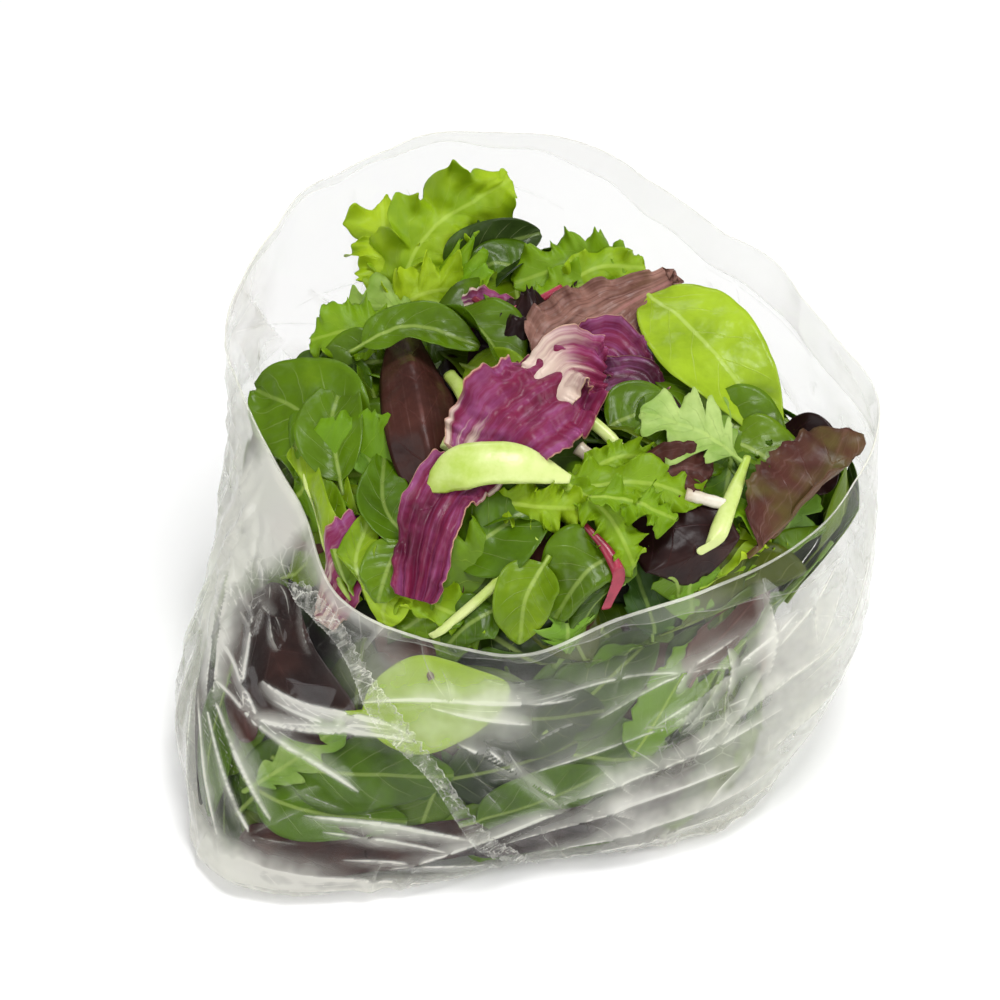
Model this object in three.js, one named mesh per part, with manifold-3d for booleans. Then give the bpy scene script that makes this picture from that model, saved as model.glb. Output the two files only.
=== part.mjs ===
// An open, clear film bag standing slumped on a table, filled with mixed salad leaves.
// Units are millimetres, +Z is up, the front of the bag faces -Y.
// Two solids: the bag, a thin wall with a real mouth, and the heap of leaves that fills it.

import * as THREE from 'three';
import { mergeVertices } from 'three/addons/utils/BufferGeometryUtils.js';
import Module from 'manifold-3d';

// ---- Driving dimensions ----

const FILM_WALL = 1.2; // solid wall that stands for the film
const HEM_WALL = 1.8; // doubled film along the mouth
const HEM_START = 0.86; // share of the wall's length where the hem begins
const LEAF_GAP = 1.0; // clearance between the film and the leaves
const COLUMNS = 60; // steps round the bag
const WALL_ROWS = 12; // steps up the wall
const FLOOR_ROWS = 2; // steps from the middle of the base to its edge
const BASE_INSET = 9; // the flat base stops this far inside the foot's widest line
const BASE_RISE = 6; // height at which the foot is widest

// The bag's walls pass through four outlines. Each lists the distance from the bag's
// middle every 22.5 degrees, anticlockwise from +X (right), through +Y (back).
const FOOT_REACH = [98, 97, 96, 96, 96, 98, 104, 112, 122, 138, 158, 124, 104, 104, 112, 108];
const BELLY_REACH = [118, 108, 103, 104, 106, 108, 112, 118, 126, 143, 150, 123, 108, 106, 116, 123];
const WAIST_REACH = [128, 116, 107, 109, 114, 117, 118, 120, 120, 121, 120, 108, 99, 94, 106, 125];
const MOUTH_REACH = [127, 113, 103, 107, 118, 124, 123, 122, 102, 89, 97, 94, 91, 81, 88, 104];
const MOUTH_HEIGHT = [130, 150, 162, 170, 175, 174, 168, 150, 127, 113, 107, 104, 103, 104, 106, 109];
const BELLY_HEIGHT = 35;
const WAIST_HEIGHT = 75;

// Soft vertical pleats in the film.
const PLEAT_DEPTH = 1.4;
const PLEATS_ROUND = 11;

// The heap of leaves.
const HEAP_FRONT = 96; // level of the leaves where they meet the front wall
const HEAP_SLOPE = 0.15; // rise of that level towards the back
const HEAP_DOME = 30; // extra height in the middle
const DOME_FLATNESS = 3; // higher is flatter on top and steeper at the wall
const HEAP_RINGS = 7; // steps from the wall to the heap's middle
const HEAP_SIDE_ROWS = 8;
const EDGE_DROP = [4, 30, 14, 6, 6, 4, 18, 23, 2, 0, 0, 0, 0, 0, 0, 0]; // where the leaves lie lower
const STAND_OFF = [20, 8, 0, 0, 0, 0, 0, 0, 6, 4, 0, 0, 0, 2, 18, 28]; // where the film stands off them
const EDGE_BELOW_MOUTH = 5; // the leaves at the wall stay this far below the mouth's edge
const EDGE_SEARCH = { start: 0.3, end: 0.95, step: 0.004 }; // along the wall's line
const SIDE_DENT = 3; // how far the leaves draw back from the film in places
const DENTS = { round: [7, 4], along: [9, -14] }; // waves of that drawing back
const HEADROOM = 30; // room for leaves above the highest point of the mouth

// The leaves that shape the heap's top, from stalk to tip. Each stands for a leaf and the
// air under it. The arch lifts the middle of the leaf, and the roll turns it on its rib.
const LEAF_THICKNESS = 6;
const FACET_TOLERANCE = 0.05; // slivers left by the joins are merged within this distance
const LEAF_CUP = 0.12; // rise of the leaf's edges above its rib, as a share of its width
const LEAF_ALONG = 7; // facets from stalk to tip
const LEAF_ACROSS = 2; // facets from edge to edge
const TOP_LEAVES = [
  { from: [-50, 62, 122], to: [-14, 96, 166], width: 40, arch: 6, roll: 0.2, lobes: 0.3 },
  { from: [-32, 72, 130], to: [2, 84, 148], width: 20, arch: 2, roll: 0.3, lobes: 0 },
  { from: [-42, 44, 128], to: [-84, 41, 134], width: 26, arch: 4, roll: 0.1, lobes: 0.3 },
  { from: [-58, -17, 118], to: [-100, 18, 126], width: 42, arch: 7, roll: -0.3, lobes: 0 },
  { from: [-59, 10, 130], to: [-66, -66, 106], width: 24, arch: 6, roll: -0.4, lobes: 0 },
  { from: [-33, -28, 120], to: [-51, 32, 138], width: 24, arch: 3, roll: 0.5, lobes: 0 },
  { from: [-39, 48, 130], to: [-7, 11, 134], width: 24, arch: 5, roll: -0.4, lobes: 0 },
  { from: [8, -32, 124], to: [14, 12, 144], width: 48, arch: 7, roll: 0.1, lobes: 0.1 },
  { from: [-20, -34, 124], to: [-42, -76, 108], width: 32, arch: 5, roll: 0.2, lobes: 0.15 },
  { from: [-36, -41, 132], to: [58, -54, 122], width: 20, arch: 5, roll: 0.1, lobes: 0.3 },
  { from: [3, -56, 122], to: [-34, -84, 103], width: 28, arch: 5, roll: 0.1, lobes: 0 },
  { from: [17, -60, 120], to: [-4, -84, 102], width: 32, arch: 6, roll: 0.3, lobes: 0 },
  { from: [38, -42, 122], to: [66, -58, 110], width: 30, arch: 4, roll: -0.2, lobes: 0 },
  { from: [80, -23, 122], to: [39, -20, 134], width: 24, arch: 3, roll: 0.1, lobes: 0.35 },
  { from: [74, -50, 110], to: [98, -8, 122], width: 24, arch: 5, roll: 0.2, lobes: 0.25 },
  { from: [96, -38, 106], to: [118, -12, 124], width: 22, arch: 4, roll: 0.5, lobes: 0.1 },
  { from: [65, -2, 124], to: [59, 57, 148], width: 42, arch: 6, roll: 0.1, lobes: 0 },
  { from: [41, 68, 138], to: [-7, 66, 144], width: 24, arch: 5, roll: 0.1, lobes: 0.3 },
  { from: [10, 31, 134], to: [50, 61, 147], width: 24, arch: 5, roll: -0.2, lobes: 0.1 },
  { from: [39, 8, 132], to: [81, 29, 130], width: 24, arch: 4, roll: 0.1, lobes: 0.2 },
  { from: [60, 80, 130], to: [86, 34, 126], width: 26, arch: 5, roll: 0.2, lobes: 0 },
  { from: [-62, 78, 122], to: [-80, 42, 118], width: 28, arch: 5, roll: -0.2, lobes: 0.2 },
];

const FILM_COLOUR = 0xe9ebe6;
const LEAF_COLOUR = 0x5f8f27;

// ---- Curves ----

// A smooth closed curve through evenly spaced values: share runs from 0 to 1 round the bag.
function around(values, share) {
  const n = values.length;
  const place = (((share % 1) + 1) % 1) * n;
  const i = Math.floor(place);
  const f = place - i;
  const [a, b, c, d] = [-1, 0, 1, 2].map((k) => values[(i + k + n) % n]);
  const slopeIn = (c - a) / 2;
  const slopeOut = (d - b) / 2;
  const f2 = f * f;
  const f3 = f2 * f;
  return (2 * f3 - 3 * f2 + 1) * b + (f3 - 2 * f2 + f) * slopeIn
    + (3 * f2 - 2 * f3) * c + (f3 - f2) * slopeOut;
}

// The wall's line at one azimuth, from the edge of the flat base up to the mouth.
function wallCurve(share) {
  const foot = around(FOOT_REACH, share);
  const pleat = PLEAT_DEPTH * Math.sin(2 * Math.PI * PLEATS_ROUND * share);
  return new THREE.CatmullRomCurve3([
    new THREE.Vector3(foot - BASE_INSET, 0, 0),
    new THREE.Vector3(foot, 0, BASE_RISE),
    new THREE.Vector3(around(BELLY_REACH, share) + pleat, 0, BELLY_HEIGHT),
    new THREE.Vector3(around(WAIST_REACH, share) - pleat, 0, WAIST_HEIGHT),
    new THREE.Vector3(around(MOUTH_REACH, share), 0, around(MOUTH_HEIGHT, share)),
  ], false, 'centripetal');
}

// A point of that line as distance from the middle and height, moved inwards by depth.
function wallPoint(curve, along, depth) {
  const p = curve.getPointAt(along);
  if (depth === 0) return { reach: p.x, z: p.z };
  const t = curve.getTangentAt(along);
  return { reach: p.x - depth * t.z, z: Math.max(p.z + depth * t.x, depth) };
}

function placed(share, reach, z) {
  const angle = 2 * Math.PI * share;
  return new THREE.Vector3(reach * Math.cos(angle), reach * Math.sin(angle), z);
}

// ---- A closed skin from rings of points ----

// Rings run from the middle of the underside, out, up and back to the axis. The first
// and last rings are single points.
function skin(rings) {
  const vertices = [];
  const starts = rings.map((ring) => {
    const start = vertices.length / 3;
    ring.forEach((p) => vertices.push(p.x, p.y, p.z));
    return start;
  });
  const triangles = [];
  for (let r = 0; r + 1 < rings.length; r += 1) {
    const low = (c) => starts[r] + (rings[r].length === 1 ? 0 : c % COLUMNS);
    const high = (c) => starts[r + 1] + (rings[r + 1].length === 1 ? 0 : c % COLUMNS);
    for (let c = 0; c < COLUMNS; c += 1) {
      if (rings[r].length > 1) triangles.push(low(c), low(c + 1), high(c));
      if (rings[r + 1].length > 1) triangles.push(low(c + 1), high(c + 1), high(c));
    }
  }
  const geometry = new THREE.BufferGeometry();
  geometry.setAttribute('position', new THREE.Float32BufferAttribute(vertices, 3));
  geometry.setIndex(triangles);
  geometry.computeVertexNormals();
  return geometry;
}

function ring(pointAt) {
  return Array.from({ length: COLUMNS }, (_, c) => pointAt(c / COLUMNS, c));
}

const walls = ring((share) => wallCurve(share));

// ---- The film bag ----

function filmDepth(along) {
  return along < HEM_START ? FILM_WALL : HEM_WALL;
}

function bagGeometry() {
  const rings = [[new THREE.Vector3(0, 0, 0)]];
  for (let r = 1; r <= FLOOR_ROWS; r += 1) {
    const out = r / (FLOOR_ROWS + 1);
    rings.push(ring((share, c) => placed(share, out * wallPoint(walls[c], 0, 0).reach, 0)));
  }
  const wallRing = (along, depth) => ring((share, c) => {
    const p = wallPoint(walls[c], along, depth);
    return placed(share, p.reach, p.z);
  });
  const heights = Array.from({ length: WALL_ROWS + 1 }, (_, r) => r / WALL_ROWS);
  heights.forEach((along) => rings.push(wallRing(along, 0)));
  heights.reverse().forEach((along) => rings.push(wallRing(along, filmDepth(along))));
  for (let r = FLOOR_ROWS; r >= 1; r -= 1) {
    const out = r / (FLOOR_ROWS + 1);
    rings.push(ring((share, c) => placed(share, out * wallPoint(walls[c], 0, 0).reach, FILM_WALL)));
  }
  rings.push([new THREE.Vector3(0, 0, FILM_WALL)]);
  return skin(rings);
}

// ---- Joining solids ----

const wasm = await Module();
wasm.setup();

function solidOf(geometry) {
  const bare = geometry.clone();
  bare.deleteAttribute('normal');
  const merged = mergeVertices(bare);
  return new wasm.Manifold(new wasm.Mesh({
    numProp: 3,
    vertProperties: new Float32Array(merged.getAttribute('position').array),
    triVerts: new Uint32Array(merged.getIndex().array),
  }));
}

function geometryOf(solid) {
  const mesh = solid.getMesh();
  const geometry = new THREE.BufferGeometry();
  geometry.setAttribute('position', new THREE.BufferAttribute(mesh.vertProperties, 3));
  geometry.setIndex(new THREE.BufferAttribute(mesh.triVerts, 1));
  geometry.computeVertexNormals();
  return geometry;
}

// ---- The heap of leaves ----

// Where the heap meets the film: distance along the wall's line.
function heapEdge(curve, share) {
  const mouth = around(MOUTH_HEIGHT, share);
  const y = around(WAIST_REACH, share) * Math.sin(2 * Math.PI * share);
  const drop = Math.max(0, around(EDGE_DROP, share));
  const level = Math.min(HEAP_FRONT + HEAP_SLOPE * (y + 100) - drop, mouth - EDGE_BELOW_MOUTH);
  let along = EDGE_SEARCH.start;
  while (along < EDGE_SEARCH.end && curve.getPointAt(along).z < level) along += EDGE_SEARCH.step;
  return along;
}

// The leaves don't press on the film everywhere. Up is the share of the heap's own side.
function sideDent(share, along, up) {
  const angle = 2 * Math.PI * share;
  const [first, second] = DENTS.round.map((n, i) => Math.sin(n * angle + DENTS.along[i] * along + i));
  const awayFromBase = Math.min(1, 4 * along);
  const standOff = Math.max(0, around(STAND_OFF, share)) * Math.sin(Math.PI * up);
  return SIDE_DENT * (0.5 + 0.5 * first * second) * awayFromBase + standOff;
}

const heapFloor = FILM_WALL + LEAF_GAP;
const heapDepth = HEM_WALL + LEAF_GAP;

function baseRings() {
  const rings = [[new THREE.Vector3(0, 0, heapFloor)]];
  for (let r = 1; r <= FLOOR_ROWS; r += 1) {
    const out = r / (FLOOR_ROWS + 1);
    rings.push(ring((share, c) => placed(share, out * wallPoint(walls[c], 0, 0).reach, heapFloor)));
  }
  return rings;
}

// The packed body of the heap, with a low dome on top.
function heapBody() {
  const edges = walls.map((curve, c) => heapEdge(curve, c / COLUMNS));
  const rings = baseRings();
  for (let r = 0; r <= HEAP_SIDE_ROWS; r += 1) {
    rings.push(ring((share, c) => {
      const along = edges[c] * r / HEAP_SIDE_ROWS;
      const p = wallPoint(walls[c], along, heapDepth + sideDent(share, along, r / HEAP_SIDE_ROWS));
      return placed(share, p.reach, Math.max(p.z, heapFloor));
    }));
  }
  const edge = rings[rings.length - 1];
  const middle = edge.reduce((sum, p) => sum + p.z, 0) / edge.length;
  for (let r = 1; r < HEAP_RINGS; r += 1) {
    const reach = 1 - r / HEAP_RINGS;
    const dome = HEAP_DOME * (1 - reach ** DOME_FLATNESS);
    rings.push(edge.map((p) => new THREE.Vector3(
      p.x * reach,
      p.y * reach,
      middle + (p.z - middle) * reach + dome,
    )));
  }
  rings.push([new THREE.Vector3(0, 0, middle + HEAP_DOME)]);
  return skin(rings);
}

// The room inside the film, carried straight up past the mouth, which no leaf leaves.
function insideOfBag() {
  const rings = baseRings();
  for (let r = 0; r <= WALL_ROWS; r += 1) {
    rings.push(ring((share, c) => {
      const p = wallPoint(walls[c], r / WALL_ROWS, heapDepth);
      return placed(share, p.reach, Math.max(p.z, heapFloor));
    }));
  }
  const lid = Math.max(...MOUTH_HEIGHT) + HEADROOM;
  rings.push(rings[rings.length - 1].map((p) => new THREE.Vector3(p.x, p.y, lid)));
  rings.push([new THREE.Vector3(0, 0, lid)]);
  return skin(rings);
}

// Half the leaf's width along its length, as a share of its widest.
function leafOutline(along, lobes) {
  const oval = Math.sin(Math.PI * along ** 0.8) ** 0.7;
  return 0.1 + oval * (1 + lobes * Math.sin(6 * Math.PI * along));
}

// A leaf as an arched, cupped plate with rounded outline.
function leafPlate({ from, to, width, arch, roll, lobes }) {
  const start = new THREE.Vector3(...from);
  const end = new THREE.Vector3(...to);
  const rib = end.clone().sub(start).normalize();
  const side = new THREE.Vector3(0, 0, 1).cross(rib).normalize().applyAxisAngle(rib, roll);
  const up = rib.clone().cross(side);
  const surface = (depth) => (i, j) => {
    const along = i / LEAF_ALONG;
    const across = 2 * j / LEAF_ACROSS - 1;
    const half = width / 2 * leafOutline(Math.min(along, 0.999), lobes);
    const rise = 4 * arch * along * (1 - along) + LEAF_CUP * width * across * across - depth;
    return start.clone().lerp(end, along).addScaledVector(side, half * across).addScaledVector(up, rise);
  };
  const vertices = [];
  const row = LEAF_ACROSS + 1;
  [surface(0), surface(LEAF_THICKNESS)].forEach((pointAt) => {
    for (let i = 0; i <= LEAF_ALONG; i += 1) {
      for (let j = 0; j <= LEAF_ACROSS; j += 1) vertices.push(...pointAt(i, j).toArray());
    }
  });
  const below = (LEAF_ALONG + 1) * row;
  const triangles = [];
  const quad = (a, b, c, d) => triangles.push(a, b, c, a, c, d);
  for (let i = 0; i < LEAF_ALONG; i += 1) {
    for (let j = 0; j < LEAF_ACROSS; j += 1) {
      const k = i * row + j;
      quad(k, k + row, k + row + 1, k + 1);
      quad(below + k, below + k + 1, below + k + row + 1, below + k + row);
    }
    const left = i * row;
    const right = left + LEAF_ACROSS;
    quad(left, below + left, below + left + row, left + row);
    quad(right, right + row, below + right + row, below + right);
  }
  for (let j = 0; j < LEAF_ACROSS; j += 1) {
    const tip = LEAF_ALONG * row + j;
    quad(j, j + 1, below + j + 1, below + j);
    quad(tip, below + tip, below + tip + 1, tip + 1);
  }
  const geometry = new THREE.BufferGeometry();
  geometry.setAttribute('position', new THREE.Float32BufferAttribute(vertices, 3));
  geometry.setIndex(triangles);
  return geometry;
}

// The body and its top leaves as one solid inside the film.
function heapGeometry() {
  let heap = solidOf(heapBody());
  TOP_LEAVES.forEach((leaf) => {
    heap = heap.add(solidOf(leafPlate(leaf)));
  });
  heap = heap.intersect(solidOf(insideOfBag()));
  const bodies = heap.decompose().sort((a, b) => b.volume() - a.volume());
  return geometryOf(bodies[0].simplify(FACET_TOLERANCE));
}

// ---- The object ----

const bag = new THREE.Mesh(bagGeometry(), new THREE.MeshStandardMaterial({
  color: FILM_COLOUR,
  roughness: 0.15,
  metalness: 0,
  transparent: true,
  opacity: 0.35,
}));
bag.name = 'film_bag';

const salad = new THREE.Mesh(heapGeometry(), new THREE.MeshStandardMaterial({
  color: LEAF_COLOUR,
  roughness: 0.6,
  metalness: 0,
}));
salad.name = 'salad_leaves';

// The origin is below the middle of the bag's box, on the table.
const box = new THREE.Box3().setFromBufferAttribute(bag.geometry.getAttribute('position'));
const object = new THREE.Group();
object.position.set(-(box.min.x + box.max.x) / 2, -(box.min.y + box.max.y) / 2, -box.min.z);
object.add(bag, salad);

const root = new THREE.Group();
root.add(object);

export default root;
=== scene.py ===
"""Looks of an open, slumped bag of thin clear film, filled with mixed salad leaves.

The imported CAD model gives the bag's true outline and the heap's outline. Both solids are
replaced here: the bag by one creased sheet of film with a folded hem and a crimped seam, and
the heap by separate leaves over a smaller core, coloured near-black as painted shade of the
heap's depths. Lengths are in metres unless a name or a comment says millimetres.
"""
import copy
import math

import bpy
import numpy as np
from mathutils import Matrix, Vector


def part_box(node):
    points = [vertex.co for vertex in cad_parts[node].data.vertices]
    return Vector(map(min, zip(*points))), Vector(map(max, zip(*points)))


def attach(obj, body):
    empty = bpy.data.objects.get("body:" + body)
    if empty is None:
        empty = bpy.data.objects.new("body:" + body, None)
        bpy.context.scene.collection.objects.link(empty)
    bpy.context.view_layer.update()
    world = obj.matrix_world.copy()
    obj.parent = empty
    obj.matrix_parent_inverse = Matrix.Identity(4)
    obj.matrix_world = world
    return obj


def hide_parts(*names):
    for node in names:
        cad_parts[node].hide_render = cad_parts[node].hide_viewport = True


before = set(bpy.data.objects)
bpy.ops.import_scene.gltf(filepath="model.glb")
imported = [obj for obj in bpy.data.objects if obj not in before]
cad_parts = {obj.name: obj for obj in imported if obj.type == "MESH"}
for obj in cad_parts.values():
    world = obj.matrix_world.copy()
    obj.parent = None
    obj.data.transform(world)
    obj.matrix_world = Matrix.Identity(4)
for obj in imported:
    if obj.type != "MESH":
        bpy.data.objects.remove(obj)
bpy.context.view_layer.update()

MM = 0.001
SEED = 20

# ---- The bag's outline, as the CAD model has it ----
# Millimetres. A list holds sixteen values round the bag, at equal steps from +X towards +Y.

BASE_INSET, BASE_RISE, BELLY_HEIGHT, WAIST_HEIGHT = 9, 6, 35, 75
FOOT_REACH = [98, 97, 96, 96, 96, 98, 104, 112, 122, 138, 158, 124, 104, 104, 112, 108]
BELLY_REACH = [118, 108, 103, 104, 106, 108, 112, 118, 126, 143, 150, 123, 108, 106, 116, 123]
WAIST_REACH = [128, 116, 107, 109, 114, 117, 118, 120, 120, 121, 120, 108, 99, 94, 106, 125]
MOUTH_REACH = [127, 113, 103, 107, 118, 124, 123, 122, 102, 89, 97, 94, 91, 81, 88, 104]
MOUTH_HEIGHT = [130, 150, 162, 170, 175, 174, 168, 150, 127, 113, 107, 104, 103, 104, 106, 109]
HEAP_FRONT, HEAP_SLOPE, HEAP_DOME, DOME_FLATNESS, EDGE_BELOW_MOUTH = 96, 0.15, 30, 3, 5
HEAP_MIDDLE = 104
# How far the heap's edge drops, and how far leaves stay in below that edge and above it.
EDGE_DROP = [4, 30, 14, 6, 6, 4, 18, 23, 2, 0, 0, 0, 0, 0, 0, 0]
STAND_OFF = [20, 8, 0, 0, 0, 0, 0, 0, 6, 4, 0, 0, 0, 2, 18, 28]
TOP_INSET = [3, 20, 8, 3, 6, 0, 22, 34, 10, 0, 0, 0, 0, 0, 0, 0]


def smooth(low, high, x):
    """0 below low, 1 above high, and a smooth step between."""
    f = np.clip((x - low) / (high - low), 0, 1)
    return f * f * (3 - 2 * f)


def around(values, share):
    """A smooth closed curve through evenly spaced values; share runs from 0 to 1 round the bag."""
    v = np.asarray(values, float)
    n = len(v)
    place = np.mod(share, 1) * n
    i = np.floor(place).astype(int)
    f = place - i
    a, b, c, d = v[(i - 1) % n], v[i % n], v[(i + 1) % n], v[(i + 2) % n]
    slope_in, slope_out = (c - a) / 2, (d - b) / 2
    return ((2 * f**3 - 3 * f**2 + 1) * b + (f**3 - 2 * f**2 + f) * slope_in
            + (3 * f**2 - 2 * f**3) * c + (f**3 - f**2) * slope_out)


def unit(v):
    """Vectors made one long."""
    return v / np.maximum(np.linalg.norm(v, axis=-1, keepdims=True), 1e-9)


def run_along(line):
    """How far along a line each of its points is."""
    return np.r_[0, np.cumsum(np.linalg.norm(np.diff(line, axis=0), axis=1))]


def spline(points, steps):
    """A centripetal Catmull-Rom curve through the points, as three.js draws it."""
    p = np.asarray(points, float)
    p = np.vstack([2 * p[0] - p[1], p, 2 * p[-1] - p[-2]])
    out = []
    for a, b, c, d in zip(p, p[1:], p[2:], p[3:]):
        t0, t1, t2 = [max(np.linalg.norm(q - r), 1e-6) ** 0.5 for q, r in ((b, a), (c, b), (d, c))]
        m1 = ((b - a) / t0 - (c - a) / (t0 + t1) + (c - b) / t1) * t1
        m2 = ((c - b) / t1 - (d - b) / (t1 + t2) + (d - c) / t2) * t1
        f = np.linspace(0, 1, steps, endpoint=False)[:, None]
        out.append(b + m1 * f + (3 * (c - b) - 2 * m1 - m2) * f**2 + (2 * (b - c) + m1 + m2) * f**3)
    out.append(p[-2][None])
    return np.vstack(out)


# A table of the wall: for each share round the bag and share up the wall, distance from the
# bag's middle and height, in millimetres.
TABLE_ROUND, TABLE_UP = 720, 161


def wall_table():
    """Distances, heights and the wall's length from the foot to the mouth."""
    reach = np.zeros((TABLE_ROUND, TABLE_UP))
    height = np.zeros_like(reach)
    length = np.zeros(TABLE_ROUND)
    up = np.linspace(0, 1, TABLE_UP)
    for i in range(TABLE_ROUND):
        s = i / TABLE_ROUND
        foot = around(FOOT_REACH, s)
        line = spline([(foot - BASE_INSET, 0), (foot, BASE_RISE),
                       (around(BELLY_REACH, s), BELLY_HEIGHT),
                       (around(WAIST_REACH, s), WAIST_HEIGHT),
                       (around(MOUTH_REACH, s), around(MOUTH_HEIGHT, s))], 16)
        run = run_along(line)
        length[i] = run[-1]
        reach[i] = np.interp(up * run[-1], run, line[:, 0])
        height[i] = np.interp(up * run[-1], run, line[:, 1])
    return reach, height, length


WALL_REACH, WALL_HEIGHT, WALL_LENGTH = wall_table()
TURN = 2 * np.pi * np.arange(TABLE_ROUND) / TABLE_ROUND
WALL = np.stack([WALL_REACH * np.cos(TURN)[:, None], WALL_REACH * np.sin(TURN)[:, None], WALL_HEIGHT], -1)
OUTLINE_MIDDLE = (WALL.min((0, 1)) + WALL.max((0, 1))) / 2 * [1, 1, 0]
bag_low, bag_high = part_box("film_bag")
FRAME_MIDDLE = np.array([(bag_low.x + bag_high.x) / 2, (bag_low.y + bag_high.y) / 2, bag_low.z]) / MM


def to_frame(points):
    """From millimetres about the bag's middle to metres in the frame."""
    return (np.asarray(points, float) - OUTLINE_MIDDLE + FRAME_MIDDLE) * MM


def wall_normals():
    """Directions out of the bag, for the same places as the table."""
    round_way = np.roll(WALL, -1, 0) - np.roll(WALL, 1, 0)
    up_way = np.gradient(WALL, axis=1)
    return unit(np.cross(round_way, up_way))


WALL_OUT = wall_normals()


def look_up(table, share, up):
    """Reads a table of the wall between its entries."""
    x = np.mod(share, 1) * TABLE_ROUND
    y = np.clip(up, 0, 1) * (TABLE_UP - 1)
    i, j = np.floor(x).astype(int), np.minimum(np.floor(y).astype(int), TABLE_UP - 2)
    f, g = x - i, y - j
    if table.ndim == 3:
        f, g = f[..., None], g[..., None]
    i0, i1 = i % TABLE_ROUND, (i + 1) % TABLE_ROUND
    return ((table[i0, j] * (1 - f) + table[i1, j] * f) * (1 - g)
            + (table[i0, j + 1] * (1 - f) + table[i1, j + 1] * f) * g)


def length_at(share):
    """The wall's length from the foot to the mouth, in millimetres."""
    place = np.mod(share, 1) * TABLE_ROUND
    return np.interp(place, np.arange(TABLE_ROUND + 1), np.r_[WALL_LENGTH, WALL_LENGTH[0]])


def wall_at(share, up, depth=0.0):
    """Points on the wall, moved inwards by depth, in millimetres."""
    share, up = np.broadcast_arrays(np.asarray(share, float), np.asarray(up, float))
    d = np.broadcast_to(np.asarray(depth, float), share.shape)[..., None]
    return look_up(WALL, share, up) - d * look_up(WALL_OUT, share, up)


TOP_LEVEL = 180  # millimetres; above every part of the wall
LEVELS = np.arange(TOP_LEVEL + 1.0)
REACH_AT_LEVEL = np.array([np.interp(LEVELS, h, r) for h, r in zip(WALL_HEIGHT, WALL_REACH)])


def reach_at(share, height):
    """How far out the wall is at a height, or the mouth's edge above the mouth."""
    x = np.mod(share, 1) * TABLE_ROUND
    i = np.floor(x).astype(int)
    f = x - i
    z = np.clip(height, 0, TOP_LEVEL)
    k = np.minimum(np.floor(z).astype(int), TOP_LEVEL - 1)
    g = z - k
    a, b = REACH_AT_LEVEL[i % TABLE_ROUND], REACH_AT_LEVEL[(i + 1) % TABLE_ROUND]

    def between_levels(rows):
        low, high = (np.take_along_axis(rows, n[..., None], -1)[..., 0] for n in (k, k + 1))
        return low * (1 - g) + high * g

    return between_levels(a) * (1 - f) + between_levels(b) * f


def heap_height(x, y):
    """The heap's smooth top, in millimetres."""
    share = np.arctan2(y, x) / (2 * np.pi)
    wall_y = around(WAIST_REACH, share) * np.sin(2 * np.pi * share)
    drop = np.maximum(0, around(EDGE_DROP, share))
    edge = np.minimum(HEAP_FRONT + HEAP_SLOPE * (wall_y + 100) - drop,
                      around(MOUTH_HEIGHT, share) - EDGE_BELOW_MOUTH)
    out = np.clip(np.hypot(x, y) / reach_at(share, edge), 0, 1)
    return HEAP_MIDDLE + (edge - HEAP_MIDDLE) * out + HEAP_DOME * (1 - out**DOME_FLATNESS)


LEAF_CLEARANCE = 2.2  # millimetres between leaves and the film's smooth form
WALL_LEAF_ROOM = 0.5  # how far a leaf against the film may bulge towards it
GAP_SPREAD = 1.8  # leaves that touch the same stretch of film lie up to this far apart


def leaf_gap(share, height):
    """How far inside the film the leaves stay, which differs round the bag and by height."""
    low = np.maximum(0, around(STAND_OFF, share)) * np.sin(np.pi * np.clip(height / 98, 0, 1))
    high = np.maximum(0, around(TOP_INSET, share)) * smooth(92, 122, height)
    return low + high


def keep_inside(points, gap=LEAF_CLEARANCE, free=False):
    """Pulls points that reach past the film back inside it; free leaves need not keep the leaf gap."""
    p = np.array(points, float)
    share = np.arctan2(p[..., 1], p[..., 0]) / (2 * np.pi)
    reach = np.hypot(p[..., 0], p[..., 1])
    limit = reach_at(share, p[..., 2]) - gap - (0 if free else leaf_gap(share, p[..., 2]))
    pull = np.minimum(1, limit / np.maximum(reach, 1e-6))
    p[..., 0] *= pull
    p[..., 1] *= pull
    p[..., 2] = np.maximum(p[..., 2], gap)
    return p


# ---- Meshes from grids ----

def new_mesh(name, points_mm, faces, maps=None, tints=None, values=None):
    """A mesh object from points, quads or triangles, and per-vertex maps and colours."""
    me = bpy.data.meshes.new(name)
    points = to_frame(points_mm)
    faces = np.asarray(faces, np.int32)
    me.vertices.add(len(points))
    me.vertices.foreach_set("co", points.astype(np.float32).ravel())
    sides = faces.shape[1]
    me.loops.add(faces.size)
    me.loops.foreach_set("vertex_index", faces.ravel())
    me.polygons.add(len(faces))
    me.polygons.foreach_set("loop_start", np.arange(0, faces.size, sides, dtype=np.int32))
    me.polygons.foreach_set("loop_total", np.full(len(faces), sides, np.int32))
    me.polygons.foreach_set("use_smooth", np.ones(len(faces), bool))
    me.update(calc_edges=True)
    for key, value in (maps or {}).items():
        layer = me.uv_layers.new(name=key)
        layer.data.foreach_set("uv", value[faces.ravel()].astype(np.float32).ravel())
    for key, value in (tints or {}).items():
        layer = me.color_attributes.new(name=key, type="FLOAT_COLOR", domain="POINT")
        layer.data.foreach_set("color", value.astype(np.float32).ravel())
    for key, value in (values or {}).items():
        layer = me.attributes.new(name=key, type="FLOAT", domain="POINT")
        layer.data.foreach_set("value", value.astype(np.float32).ravel())
    me.validate()
    ob = bpy.data.objects.new(name, me)
    bpy.context.scene.collection.objects.link(ob)
    return ob


def grid_faces(rows, columns, wrap=False):
    """Quads of a grid with rows x columns points; wrap closes the columns."""
    r = np.arange(rows - 1)[:, None]
    c = np.arange(columns if wrap else columns - 1)[None, :]
    n = (c + 1) % columns
    quads = np.stack([r * columns + c, r * columns + n, (r + 1) * columns + n, (r + 1) * columns + c], -1)
    return quads.reshape(-1, 4)


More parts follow.
